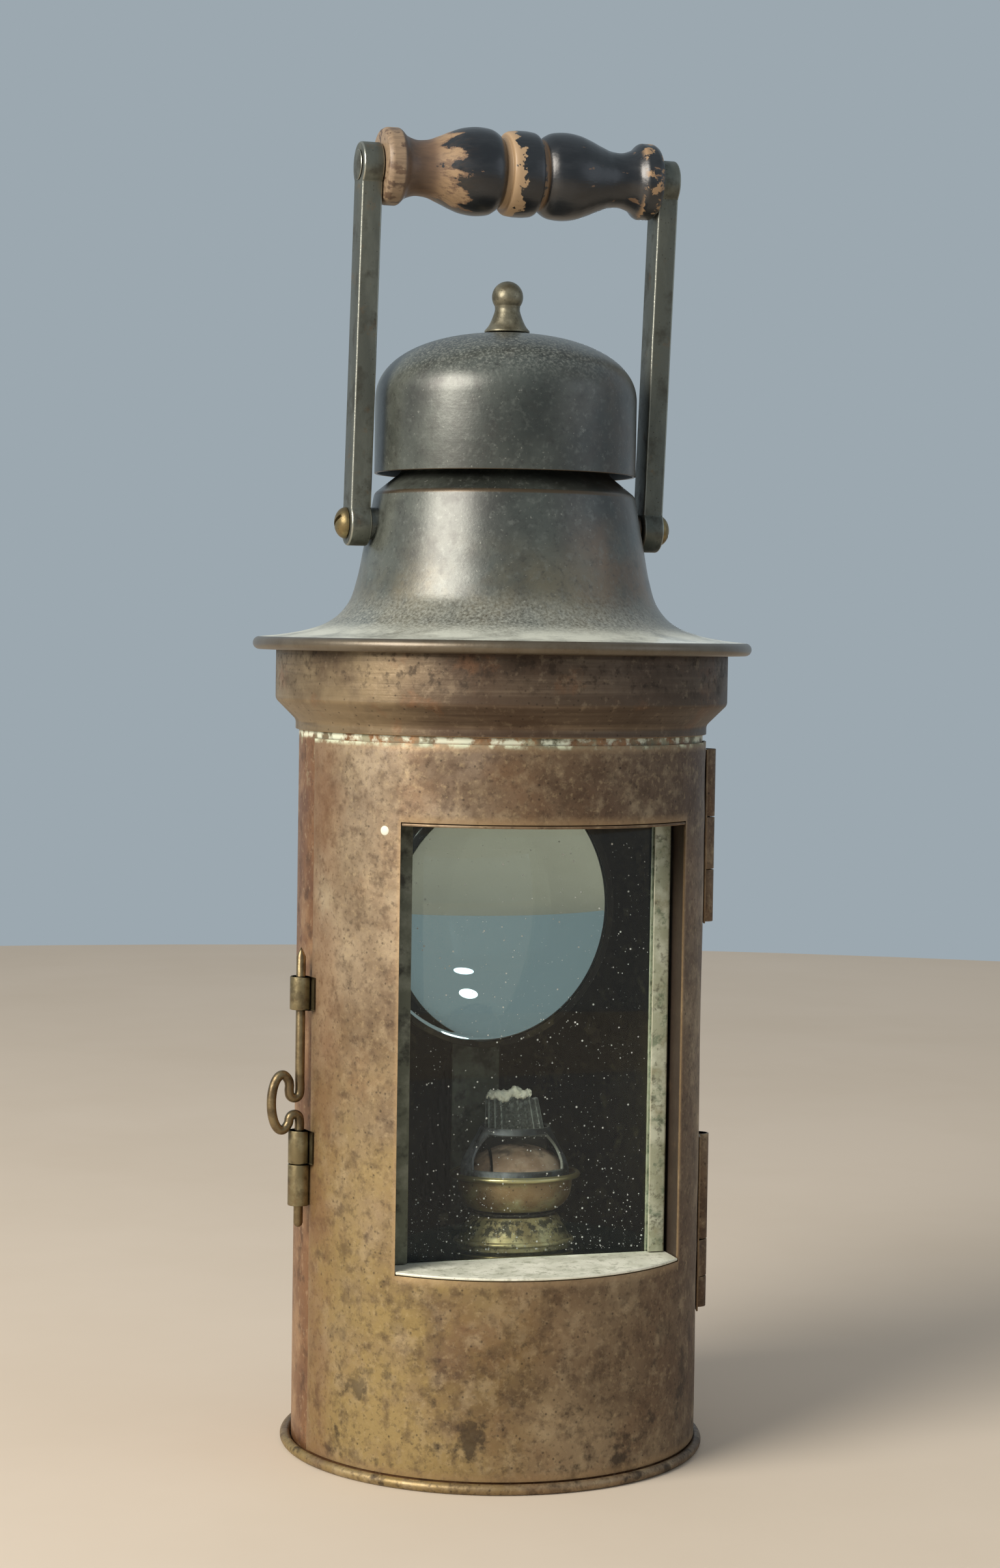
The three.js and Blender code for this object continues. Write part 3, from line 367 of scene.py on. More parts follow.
def prism(outline: Array, foot: float, top: float, edge: float = 0.25, holes: tuple = ()) -> Surface:
    """A flat outline raised between two heights, its edges rounded by insetting the end rows along a quarter
    circle.

    Args:
        outline: the outer outline.
        foot, top: the two heights.
        edge: the rounding of the edges.
        holes: outlines of holes.

    Returns:
        The closed surface.
    """
    turn = np.radians([0, 30, 60, 90])
    inset = edge * (1 - np.sin(turn))
    inset = np.concatenate([inset, inset[::-1]])
    rise = edge * (1 - np.cos(turn))
    heights = np.concatenate([foot + rise, (top - rise)[::-1]])
    whole = Surface(np.zeros((0, 3)), [])
    ends: list[Array] = []
    for index, loop in enumerate([outline, *holes]):
        loop = np.asarray(loop, float)
        ahead = np.roll(loop, -1, 0)
        area = (loop[:, 0] * ahead[:, 1] - loop[:, 1] * ahead[:, 0]).sum()
        loop = loop if (area > 0) == (index == 0) else loop[::-1]
        rows = [
            np.column_stack([beside(loop, step, True), np.full(len(loop), level)])
            for step, level in zip(inset, heights)
        ]
        ends.append(np.arange(len(loop)) + len(whole.points))
        whole = whole + grid(np.stack(rows), round_columns=True)
    last = [loop + (len(heights) - 1) * len(loop) for loop in ends]
    if len(ends) == 1:
        caps = [ends[0][::-1].tolist(), last[0].tolist()]
    else:
        index = np.concatenate(last)
        lines = [[Vector(point) for point in whole.points[loop]] for loop in last]
        cap = np.array(tessellate_polygon(lines))
        corners = whole.points[index[cap]][:, :, :2]
        one, other = corners[:, 1] - corners[:, 0], corners[:, 2] - corners[:, 0]
        wrong = one[:, 0] * other[:, 1] - one[:, 1] * other[:, 0] < 0
        cap[wrong] = cap[wrong][:, ::-1]
        caps = index[cap].tolist() + np.concatenate(ends)[cap[:, ::-1]].tolist()
    return Surface(whole.points, whole.faces + caps).outward()


def sweep(path: Array, radius: Array, across: tuple, sides: int = 16) -> Surface:
    """A round wire along a flat path: each ring is p + r (cos a (across x tangent) + sin a across).

    Args:
        path: points of the path.
        radius: the radius at each point; it ends in a pole where this is 0.
        across: the direction square to the path's plane.
        sides: sides of the wire.

    Returns:
        The closed surface.
    """
    tangent = np.gradient(path, axis=0)
    tangent /= np.linalg.norm(tangent, axis=1)[:, None]
    across = np.asarray(across, float)
    normal = np.cross(across, tangent)
    angle = 2 * np.pi * np.arange(sides) / sides
    ring = normal[:, None] * np.cos(angle)[None, :, None] + across * np.sin(angle)[None, :, None]
    return grid(path[:, None] + np.asarray(radius)[:, None, None] * ring, round_columns=True).outward()


def oblong(width: float, depth: float) -> Array:
    """A rectangle about the origin."""
    return np.array([[-1, -1], [1, -1], [1, 1], [-1, 1]]) * [width / 2, depth / 2]


def dome(radius: float, foot: float, height: float) -> Array:
    """The outline of a low domed head from the axis below to the axis above."""
    return np.vstack([[[0, foot]], arc(0, foot, radius, 0, 90, 8, height)[:-1], [[0, foot + height]]])


def turned_pin(radius: float, foot: float, top: float, edge: float, segments: int) -> Surface:
    """A turned pin from one height to another, with its ends rounded."""
    line = [[0, foot], [radius, foot], [radius, top], [0, top]]
    return revolve(soften(line, edge, closed=False), segments)


def plain_ring(inner: float, outer: float, foot: float, top: float, edge: float, segments: int) -> Surface:
    """A turned ring of rectangular section, with its edges rounded."""
    return revolve(soften([[inner, foot], [outer, foot], [outer, top], [inner, top]], edge), segments)


def hoop(radius: float, height: float, wire: float) -> Surface:
    """A round wire bent to a hoop about Z."""
    return revolve(arc(radius, height, wire, 0, 345, 23))


def rivet(radius: float, sunk: float, rise: float, reach: float, height: float, bearing: float) -> Surface:
    """A flush rivet's dome, its foot sunk in the sheet, at its reach, height and bearing."""
    head = revolve(dome(radius, -sunk, rise), 24).moved(ALONG_Y @ np.diag([1, -1, -1]))
    return head.moved(None, (0, -reach, height)).moved(turn_z(bearing))


# Finishes


@dataclass(frozen=True)
class Layer:
    """One tone laid over a finish, with sizes in millimetres."""

    colour: str
    size: float = 20.0
    low: float = 0.45
    high: float = 0.6
    share: float = 1.0
    roughness: float | None = None
    metallic: float | None = None
    pattern: Pattern = Pattern.CLOUDS
    stretch: Triple = (1.0, 1.0, 1.0)
    shift: float = 0.0
    detail: float = 5.0
    spans: tuple[tuple[str, float, float], ...] = ()
    lifts: tuple[tuple[str, float, float, float], ...] = ()

    def spread(self, tree: Tree, place: Socket) -> Socket:
        """The layer's share over the surface: its pattern, raised by an amount along each lift, from low to
        high, times how far along each span the place is.

        Args:
            tree: the material's node tree.
            place: Object coordinates.

        Returns:
            The socket that gives the share.
        """
        if self.pattern is Pattern.EDGES:
            level = add_node(tree, "Attribute", attribute_name="worn").outputs["Fac"]
        else:
            terms = {0: place, 1: per_size(self.size, self.stretch), 2: (self.shift,) * 3}
            spot = add_node(tree, "VectorMath", terms, operation="MULTIPLY_ADD").outputs[0]
            kind, noise = "TexVoronoi", {"Vector": spot, "Scale": 1.0}
            if self.pattern is Pattern.CLOUDS:
                kind, noise = "TexNoise", noise | {"Detail": self.detail, "Roughness": 0.62}
            level = add_node(tree, kind, noise).outputs[0]
        along = add_node(tree, "SeparateXYZ", {0: place}).outputs if self.lifts or self.spans else {}
        for axis, start, end, amount in self.lifts:
            ends = {0: along[axis], 1: start * MM, 2: end * MM, 3: 0.0, 4: amount}
            ramp = add_node(tree, "MapRange", ends, clamp=True).outputs[0]
            level = add_node(tree, "Math", {0: level, 1: ramp}, operation="ADD").outputs[0]
        ends = {0: level, 1: self.low, 2: self.high, 3: 0.0, 4: self.share}
        share = add_node(tree, "MapRange", ends, clamp=True).outputs[0]
        for axis, start, end in self.spans:
            ends = {0: along[axis], 1: start * MM, 2: end * MM, 3: 0.0, 4: 1.0}
            ramp = add_node(tree, "MapRange", ends, clamp=True, interpolation_type="SMOOTHSTEP").outputs[0]
            share = add_node(tree, "Math", {0: share, 1: ramp}, operation="MULTIPLY").outputs[0]
        return share


def rubbed(
    colour: str, share: float, roughness: float | None = None, metallic: float | None = None,
    low: float = 0.2, high: float = 0.8, spans: tuple = (),
) -> Layer:
    """The tone of rubbed edges, from where the attribute worn passes low to where it reaches high."""
    return Layer(colour, 1.0, low, high, share, roughness, metallic, Pattern.EDGES, spans=spans)


def pits(
    colour: str, size: float, low: float, high: float, share: float, roughness: float | None = None,
    shift: float = 0.0,
) -> Layer:
    """Round pits: size is their spacing, and low and high are a pit's rim and floor as shares of it."""
    return Layer(colour, size, low, high, share, roughness, pattern=Pattern.SPECKS, shift=shift)


@dataclass(frozen=True)
class Relief:
    """A bump of a size and a depth in millimetres."""

    size: float
    depth: float
    stretch: Triple = (1.0, 1.0, 1.0)
    detail: float = 3.0


@dataclass(frozen=True)
class Dressing:
    """What every finish has: a material's name and the record's slot, or None in the studio."""

    name: str
    slot: Slot | None

    def material(self) -> bpy.types.Material:
        """The dressing's material, made once.

        Returns:
            The material.
        """
        found = bpy.data.materials.get(self.name)
        if found is None:
            found = bpy.data.materials.new(self.name)
            found.use_nodes = True
            self.wire(found.node_tree, found.node_tree.nodes["Principled BSDF"])
        return found

    def wire(self, tree: Tree, shader: bpy.types.Node) -> None:
        """Builds the node tree; each kind of dressing has its own."""
        raise NotImplementedError


@dataclass(frozen=True)
class Finish(Dressing):
    """A material from its base tone, the layers over it and its relief."""

    colour: str
    roughness: float
    metallic: float
    layers: tuple[Layer, ...] = ()
    reliefs: tuple[Relief, ...] = ()
    sockets: tuple[tuple[str, float], ...] = ()

    def wire(self, tree: Tree, shader: bpy.types.Node) -> None:
        """Builds the node tree: every layer mixes colour, roughness and metallic by its share, and the
        reliefs add up to one bump.

        Args:
            tree: the material's node tree.
            shader: its Principled shader.
        """
        place = add_node(tree, "TexCoord").outputs["Object"]
        values = {"Base Color": linear(self.colour), "Roughness": self.roughness, "Metallic": self.metallic}
        for layer in self.layers:
            share = layer.spread(tree, place)
            goals = (linear(layer.colour), layer.roughness, layer.metallic)
            for (name, value), goal in zip(list(values.items()), goals):
                if goal is None:
                    continue
                kind, one, other = ("RGBA", 6, 7) if name == "Base Color" else ("FLOAT", 2, 3)
                mix = add_node(tree, "Mix", {0: share, one: value, other: goal}, data_type=kind)
                values[name] = mix.outputs[2 if kind == "RGBA" else 0]
        height = 0.0
        for relief in self.reliefs:
            terms = {0: place, 1: per_size(relief.size, relief.stretch)}
            spot = add_node(tree, "VectorMath", terms, operation="MULTIPLY").outputs[0]
            noise = {"Vector": spot, "Scale": 1.0, "Detail": relief.detail}
            noise = add_node(tree, "TexNoise", noise).outputs[0]
            terms = {0: noise, 1: relief.depth, 2: height}
            height = add_node(tree, "Math", terms, operation="MULTIPLY_ADD").outputs[0]
        if self.reliefs:
            bump = add_node(tree, "Bump", {"Height": height, "Distance": MM, "Strength": 1.0})
            values["Normal"] = bump.outputs[0]
        fill(shader, values | dict(self.sockets))


# Rolled sheet copper, long handled: a thin brown oxide that mottles from tan to umber in grains of a few
# millimetres, ochre low on the left, pitted, and rubbed a little paler on its edges; painted light makes it
# paler on the left, and painted shade darker on the right and towards the top right
BROWN_COPPER = Finish(
    "patinated_rolled_copper", Slot.BROWN_COPPER, "#725c45", 0.46, 0.5,
    layers=(
        Layer("#988669", 60, 0.42, 0.62, 0.75, shift=3.1),
        # Painted light: paler on the left side, where the light falls
        Layer("#bdad92", 50, 0.3, 0.5, 0.7, shift=63, spans=(("X", -20, -55), ("Z", 90, 190))),
        Layer("#85786a", 46, 0.36, 0.56, 0.6, shift=73, spans=(("Z", 185, 205), ("X", 10, -30))),
        Layer("#54402d", 42, 0.46, 0.66, 0.75, 0.54, shift=7.7),
        Layer("#7b5a3c", 24, 0.5, 0.68, 0.4, 0.44, shift=12.4),
        Layer("#978350", 30, 0.36, 0.56, 0.7, shift=33, spans=(("Z", 160, 60), ("X", 10, -45))),
        # Painted shade: darker on the right side, away from the light
        Layer("#4b3729", 60, 0.3, 0.5, 0.7, 0.55, shift=51, spans=(("X", -5, 58),)),
        # Painted shade: darker towards the top right
        Layer("#46352b", 60, 0.3, 0.5, 0.55, 0.5, shift=57, spans=(("X", -30, 30), ("Z", 185, 212))),
        Layer("#ab9a7c", 8, 0.52, 0.68, 0.4, shift=21),
        Layer("#453426", 5, 0.5, 0.66, 0.6, 0.6, shift=5.5, detail=8),
        Layer("#b5a17c", 1.6, 0.54, 0.7, 0.3, shift=9.1),
        Layer("#33271c", 1.5, 0.54, 0.68, 0.5, 0.62, shift=15),
        Layer("#2f251b", 11, 0.56, 0.64, 0.8, 0.6, shift=41, spans=(("Z", 70, 10),)),
        pits("#221a13", 3.4, 0.14, 0.07, 0.6, 0.65, shift=1.3),
        rubbed("#a98f6c", 0.4, 0.38, 0.65),
    ),
    reliefs=(Relief(1.1, 0.05), Relief(14, 0.35)),
)
# The door's copper is the same, with a redder strip at the latch edge, painted shade darkening the folded
# jambs, and a pale green-white bloom of verdigris under the band
DOOR_COPPER = Finish(
    "patinated_door_copper", Slot.BROWN_COPPER, "#725c45", 0.46, 0.5,
    layers=(
        *BROWN_COPPER.layers,
        Layer("#7c5a3e", 24, 0.3, 0.5, 0.5, spans=(("X", -57, -62),)),
        # Painted shade: the window's folded jambs are darkened on both sides
        *(
            Layer("#352c26", 30, 0.2, 0.4, 0.9, 0.6,
                  spans=(("X", side * 45.35, side * 45.25), ("X", side * 40, side * 44), ("Y", -45.0, -44.4)))
            for side in (1, -1)
        ),
        Layer("#66705e", 9, 0.4, 0.6, 0.6, 0.75, 0.1, shift=12, spans=(("Z", 221.6, 223.0),)),
        Layer("#c3ccb4", 5.0, 0.49, 0.59, 0.85, 0.8, 0.05, shift=2, detail=8, spans=(("Z", 221.6, 223.2),)),
    ),
    reliefs=BROWN_COPPER.reliefs,
)
# The band was turned and brushed, so its streaks run round it; its upper half is pitted; painted light makes
# it paler on the left and painted shade darker on the right
BAND_COPPER = Finish(
    "brushed_band_copper", Slot.BROWN_COPPER, "#55473a", 0.42, 0.6,
    layers=(
        Layer("#877764", 9, 0.46, 0.66, 0.6, stretch=(0.05, 0.05, 3.0), shift=4),
        # Painted light: paler on the left side, where the light falls
        Layer("#9c8a6a", 30, 0.3, 0.5, 0.6, shift=34, spans=(("X", -30, -62),)),
        Layer("#473629", 30, 0.44, 0.64, 0.75, 0.5, shift=9),
        Layer("#80593c", 15, 0.58, 0.68, 0.4, shift=2.7),
        Layer("#3b2f24", 4, 0.55, 0.68, 0.4, stretch=(0.1, 0.1, 2.0), shift=6),
        # Painted shade: darker on the right side, away from the light
        Layer("#40352a", 60, 0.3, 0.5, 0.6, 0.5, shift=51, spans=(("X", -20, 50),)),
        Layer("#33291f", 12, 0.48, 0.66, 0.6, 0.6, shift=18, spans=(("Z", 235, 241),)),
        Layer("#261e17", 3.0, 0.52, 0.64, 0.6, 0.65, shift=38, spans=(("Z", 236, 241),)),
        Layer("#9c8b73", 3, 0.56, 0.68, 0.25, shift=22),
        pits("#2a221a", 2.6, 0.16, 0.08, 0.6, 0.6),
        rubbed("#a3865f", 0.5, 0.34, 0.85),
    ),
    reliefs=(Relief(1.0, 0.03, (0.06, 0.06, 2.0)), Relief(1.2, 0.05)),
)
# The shell stayed behind the door, so its copper kept more of its orange
BRIGHT_COPPER = Finish(
    "rubbed_shell_copper", Slot.BRIGHT_COPPER, "#86603f", 0.42, 0.6,
    layers=(
        Layer("#6d4a32", 26, 0.45, 0.62, 0.8, shift=4.4),
        Layer("#b3906a", 18, 0.5, 0.66, 0.6, shift=8.2),
        Layer("#4f3a2b", 7, 0.54, 0.66, 0.65, 0.55, shift=1.7),
        Layer("#c0a684", 2.4, 0.56, 0.68, 0.4, shift=6.2),
        Layer("#9fa78e", 8, 0.56, 0.64, 0.7, 0.75, 0.1, shift=15, spans=(("Z", 195, 232),)),
        Layer("#66705e", 9, 0.4, 0.6, 0.7, 0.75, 0.1, shift=12, spans=(("Z", 222.4, 223.4),)),
        Layer("#cfd5c2", 5.0, 0.47, 0.57, 0.85, 0.8, 0.05, shift=2, detail=8, spans=(("Z", 222.8, 224.0),)),
        pits("#32251b", 3, 0.15, 0.07, 0.5),
        rubbed("#c89c70", 0.6, 0.3, 0.85),
    ),
    reliefs=(Relief(1.2, 0.05), Relief(16, 0.4)),
)
# Inside, lamp soot and oil turn the copper to a matt olive black, with ochre where it was wiped
SOOTED_COPPER = Finish(
    "oil_sooted_copper", Slot.BRIGHT_COPPER, "#1b1910", 0.7, 0.3,
    layers=(
        Layer("#4b4228", 34, 0.48, 0.66, 0.7, 0.6, shift=5),
        Layer("#15130f", 24, 0.48, 0.62, 0.8, 0.8, 0.1, shift=14),
        Layer("#5f5436", 7, 0.56, 0.68, 0.5, shift=9),
        Layer("#3a3324", 2.2, 0.5, 0.66, 0.4, shift=19),
    ),
    reliefs=(Relief(1.4, 0.06), Relief(16, 0.3)),
)
# Spun copper round the flue, blackened by heat to a grey-green film, browner low on the neck, with pale ash
# settled on the flare and a bronze bead round the brim; painted light makes it paler towards the left
DARK_COPPER = Finish(
    "heat_blackened_spun_copper", Slot.DARK_COPPER, "#2b302c", 0.37, 0.35,
    layers=(
        Layer("#555b56", 44, 0.42, 0.66, 0.7, shift=2.2),
        # Painted light: paler towards the left, the lit side
        Layer("#6d726a", 40, 0.3, 0.56, 0.45, shift=82, spans=(("X", -16, -42),)),
        Layer("#242522", 30, 0.5, 0.66, 0.65, 0.48, shift=11),
        Layer("#54402f", 34, 0.44, 0.64, 0.65, shift=17, spans=(("X", -5, 38),)),
        Layer("#6a5f44", 30, 0.4, 0.6, 0.5, shift=5, spans=(("Z", 290, 268),)),
        Layer("#75552f", 26, 0.36, 0.6, 0.65, shift=25, spans=(("Z", 296, 276), ("Z", 262, 268), ("X", 0, 26))),
        Layer("#262622", 6, 0.52, 0.68, 0.45, 0.5, shift=31),
        Layer("#6c716c", 2.4, 0.54, 0.7, 0.35, shift=8),
        Layer("#1d1c1a", 1.6, 0.56, 0.7, 0.5, shift=23),
        Layer("#b9beb5", 0.9, 0.3, 0.75, 0.8, 0.75, 0.1, shift=3, spans=(("Z", 272, 256),)),
        Layer("#d6dbcf", 14, 0.26, 0.58, 0.85, 0.8, 0.05, shift=13, spans=(("Z", 259.5, 254.8),)),
        Layer("#a3a8a0", 0.9, 0.46, 0.72, 0.6, 0.75, 0.1, shift=43, spans=(("Z", 330, 344),)),
        Layer("#a9ada4", 1.1, 0.64, 0.7, 0.3, 0.7, shift=53),
        rubbed("#4a381d", 0.9, 0.4, 0.7),
    ),
    reliefs=(Relief(0.9, 0.05), Relief(18, 0.3), Relief(1.0, 0.02, (0.08, 0.08, 2.0))),
    sockets=(("Coat Weight", 0.65), ("Coat Roughness", 0.33)),
)
# Turned brass, dulled to olive, bright where fingers reach
AGED_BRASS = Finish(
    "aged_turned_brass", Slot.BRASS, "#7d6f4d", 0.38, 0.8,
    layers=(
        Layer("#50452e", 9, 0.48, 0.64, 0.75, 0.5, 0.7, shift=3),
        Layer("#a39467", 7, 0.52, 0.66, 0.5, shift=6),
        pits("#34301f", 1.6, 0.18, 0.09, 0.55, 0.6),
        rubbed("#cdc08a", 0.75, 0.28, 0.95),
    ),
    reliefs=(Relief(0.8, 0.04), Relief(0.7, 0.015, (0.1, 0.1, 2.0))),
)
# The burner's brass is eaten by heat: brown stains and black pits, with bright rolled rims
BURNT_BRASS = Finish(
    "heat_pitted_brass", Slot.BRASS, "#afa276", 0.42, 0.55,
    layers=(
        Layer("#75623f", 7, 0.46, 0.64, 0.7, 0.5, shift=1),
        Layer("#c6be98", 5, 0.5, 0.64, 0.6, shift=7),
        Layer("#8f6c4d", 9, 0.38, 0.58, 0.75, shift=11, spans=(("Z", 76, 80),)),
        Layer("#26221a", 2.6, 0.46, 0.54, 0.85, 0.7, 0.3, shift=4, detail=6,
              spans=(("Z", 69.5, 71), ("Z", 76, 74.5))),
        Layer("#26221a", 1.6, 0.54, 0.62, 0.6, 0.7, 0.3, shift=14, spans=(("Z", 79, 76),)),
        pits("#29251b", 1.7, 0.2, 0.1, 0.6, 0.65),
        rubbed("#d9cd9c", 0.8, 0.28, 0.95),
    ),
    reliefs=(Relief(0.9, 0.08),),
)
# The wick's guide stands in the flame and is black
SOOTED_BRASS = Finish(
    "flame_sooted_brass", Slot.BRASS, "#1d1b17", 0.8, 0.2,
    layers=(
        Layer("#3a372d", 5, 0.5, 0.64, 0.6, shift=3),
        Layer("#6d6248", 6, 0.5, 0.64, 0.7, spans=(("Z", 84, 78),)),
    ),
)
# The finial's bronze weathered to a dull grey olive
WEATHERED_BRONZE = Finish(
    "weathered_turned_bronze", Slot.BRASS, "#6f6b5a", 0.4, 0.6,
    layers=(
        Layer("#908b76", 6, 0.46, 0.62, 0.7, shift=3),
        Layer("#45402f", 5, 0.5, 0.64, 0.7, 0.5, shift=8),
        pits("#2c281e", 1.5, 0.2, 0.1, 0.5, 0.6),
        rubbed("#a8a188", 0.6, 0.34, 0.85),
    ),
    reliefs=(Relief(0.8, 0.05),),
)
# Forged iron bar, grey-green from age with a trace of rust, and bright steel on its corners
FORGED_IRON = Finish(
    "aged_forged_iron", Slot.IRON, "#5a5d56", 0.42, 0.7,
    layers=(
        Layer("#74776e", 14, 0.46, 0.62, 0.7, stretch=(1, 1, 0.3), shift=2),
        Layer("#3d3c35", 8, 0.52, 0.66, 0.7, 0.55, shift=5),
        Layer("#66523c", 6, 0.6, 0.7, 0.5, 0.65, 0.5, shift=9),
        pits("#2c2a26", 1.8, 0.16, 0.08, 0.5, 0.6),
        rubbed("#a3a49a", 0.85, 0.3, 0.95, 0.15, 0.7),
    ),
    reliefs=(Relief(0.9, 0.06), Relief(9, 0.12)),
)
# The latch's wire is rubbed by hands, so it is browner and smoother than the bars
LATCH_WIRE = Finish(
    "rubbed_iron_wire", Slot.IRON, "#6f6048", 0.36, 0.85,
    layers=(
        Layer("#8f8060", 6, 0.45, 0.62, 0.7, shift=1),
        Layer("#463a2a", 5, 0.5, 0.64, 0.75, 0.5, shift=4),
    ),
    reliefs=(Relief(0.8, 0.05),),
)
# The latch's sleeves are tinned brass with the tin rubbed off
LATCH_BRASS = Finish(
    "rubbed_tinned_brass", Slot.TINNED_BRASS, "#756a4e", 0.4, 0.75,
    layers=(
        Layer("#938a6c", 6, 0.46, 0.62, 0.7, shift=2),
        Layer("#4c4331", 5, 0.5, 0.64, 0.75, 0.5, shift=7),
        Layer("#6a4c33", 7, 0.56, 0.68, 0.5, shift=12),
        rubbed("#c2b993", 0.7, 0.3, 0.9),
    ),
    reliefs=(Relief(0.9, 0.05),),
)
# Sheet iron under soot, with bluish ash, a pale bluish patch of painted light on the upper left, and a rim
# that is paler towards the right
SOOTY_IRON = Finish(
    "sooted_sheet_iron", Slot.SOOTY_IRON, "#2b2c2c", 0.8, 0.2,
    layers=(
        Layer("#565e66", 8, 0.48, 0.64, 0.65, 0.9, 0.05, shift=2),
        Layer("#121212", 10, 0.5, 0.64, 0.75, 0.95, 0.05, shift=7),
        # Painted light: a pale bluish patch on the hood's upper left, where little light reaches inside
        Layer("#b3b9c0", 9, 0.3, 0.56, 0.85, 0.85, 0.05, shift=21, spans=(("X", 4, -8), ("Z", 110, 100))),
        rubbed("#a2a69f", 0.7, 0.6, 0.4, spans=(("X", 2, 14),)),
        rubbed("#4c4b46", 0.5, 0.6, 0.4),
    ),
    reliefs=(Relief(1.2, 0.08),),
)
# Tinned brass strip: a dull pale skin, brassy where worn, with green salts in its corners
TINNED_BRASS = Finish(
    "tinned_brass_strip", Slot.TINNED_BRASS, "#a9ae96", 0.5, 0.4,
    layers=(
        Layer("#d3d9c6", 8, 0.44, 0.6, 0.75, 0.5, shift=2),
        Layer("#8d8260", 7, 0.54, 0.68, 0.5, shift=6),
        Layer("#5b6d57", 4, 0.54, 0.64, 0.75, 0.75, 0.1, shift=11),
        Layer("#3f3b2d", 2.0, 0.54, 0.66, 0.6, shift=16),
        rubbed("#d2cfba", 0.7, 0.3, 0.85),
    ),
    reliefs=(Relief(0.9, 0.05),),
)
# The same strip darkened: by soot on the lens strap, and by painted shade on the left glass channel
SOOT_AND_SHADE_TIN = Finish(
    "soot_and_shade_darkened_strip", Slot.TINNED_BRASS, "#5d6152", 0.6, 0.3,
    layers=(
        Layer("#86897a", 9, 0.46, 0.64, 0.7, shift=2),
        Layer("#23221c", 6, 0.5, 0.64, 0.75, 0.7, 0.2, shift=8),
        rubbed("#77765f", 0.5, 0.4, 0.7),
    ),
    reliefs=(Relief(0.9, 0.05),),
)
# The sill catches white dust from the glass
DUSTY_SILL = Finish(
    "dusty_tinned_sill", Slot.TINNED_BRASS, "#ced1c0", 0.62, 0.25,
    layers=(
        Layer("#dcded0", 9, 0.4, 0.6, 0.85, 0.85, 0.0, shift=2),
        Layer("#999d88", 3, 0.54, 0.66, 0.6, 0.6, 0.4, shift=6),
        pits("#6d6a58", 1.4, 0.2, 0.1, 0.5),
        rubbed("#e8e5d4", 0.7, 0.4, 0.5),
    ),
    reliefs=(Relief(1.0, 0.06),),
)
# Turned hardwood under thick black paint: the paint keeps a dull gloss, is worn off the left end, its cove
# and one side of the middle ring, and chips along the grain down to tan wood
WORN_WOOD = Finish(
    "black_painted_hardwood", Slot.WORN_WOOD, "#101216", 0.28, 0.0,
    layers=(
        Layer("#222529", 7, 0.45, 0.62, 0.6, 0.4, stretch=(0.4, 1, 1), shift=3),
        Layer("#6b5440", 5, 0.74, 0.75, 1.0, 0.58, stretch=(0.35, 1, 1), shift=14, detail=8,
              lifts=(("X", -13, -35, 0.52),), spans=(("X", -11, -13),)),
        Layer("#947b5d", 5, 0.78, 0.81, 0.9, 0.6, stretch=(0.35, 1, 1), shift=14, detail=8,
              lifts=(("X", -13, -35, 0.52),), spans=(("X", -30, -25),)),
        Layer("#463527", 6, 0.3, 0.6, 0.9, 0.6, stretch=(0.3, 1, 1), shift=9, spans=(("X", -27, -33),)),
        Layer("#86725b", 4, 0.42, 0.47, 1.0, 0.65, stretch=(0.5, 1, 1), shift=5,
              spans=(("X", -38.8, -39.6),)),
        Layer("#9d8465", 5, 0.7, 0.72, 0.95, 0.65, shift=19, detail=7,
              lifts=(("X", 1, -6, 0.4),), spans=(("X", 1, 0), ("X", -7.0, -6.2))),
        Layer("#7d654b", 5, 0.76, 0.79, 0.9, 0.6, shift=24, detail=7,
              lifts=(("X", 3, 6.5, 0.4),), spans=(("X", 2, 4), ("X", 7.2, 6.6))),
        Layer("#8f7455", 4, 0.54, 0.56, 0.95, 0.65, shift=23, detail=7, spans=(("X", 37.5, 39),)),
        Layer("#6b543f", 3, 0.64, 0.66, 0.9, 0.6, stretch=(0.25, 1, 1), shift=27, spans=(("X", 8, 12),)),
        Layer("#48372a", 1.4, 0.48, 0.64, 0.4, stretch=(0.12, 1.4, 1.4), shift=29, spans=(("X", -14, -28),)),
    ),
    reliefs=(Relief(6, 0.2, (0.4, 1, 1), 5), Relief(1.0, 0.05, (0.15, 1.5, 1.5))),
    sockets=(("Coat Weight", 0.4), ("Coat Roughness", 0.3)),
)
# Flat woven cotton, grey from oil, charred towards its top, paler on its ribs
WOVEN_COTTON = Finish(
    "woven_cotton_wick", Slot.COTTON, "#555a55", 0.95, 0.0,
    layers=(
        Layer("#2c2d2b", 0.9, 0.42, 0.6, 0.7, stretch=(1, 1, 1.6)),
        rubbed("#9fa6a0", 0.75, low=0.1),
        Layer("#26282a", 6, 0.42, 0.6, 0.75, spans=(("Z", 104, 112),), shift=3),
        Layer("#8a938f", 2.4, 0.54, 0.64, 0.6, spans=(("Z", 104, 112),), shift=6),
    ),
    reliefs=(Relief(0.9, 0.25, (1, 1, 2.0)),),
    sockets=(("Sheen Weight", 0.3),),
)
# Burnt cotton ash: a matt cream-white crust
ASH = Finish(
    "cotton_ash_crust", Slot.COTTON, "#e6e4d2", 1.0, 0.0,
    layers=(
        Layer("#f6f4e6", 2.4, 0.42, 0.58, 0.8, shift=1),
        Layer("#86836f", 2.2, 0.56, 0.66, 0.7, shift=5),
    ),
    reliefs=(Relief(0.9, 0.35),),
)
# Dust that dried on the pane
DUST = Finish("dried_dust", Slot.GLASS, "#b9beb8", 1.0, 0.0, layers=(Layer("#8d948f", 5, 0.4, 0.6),))
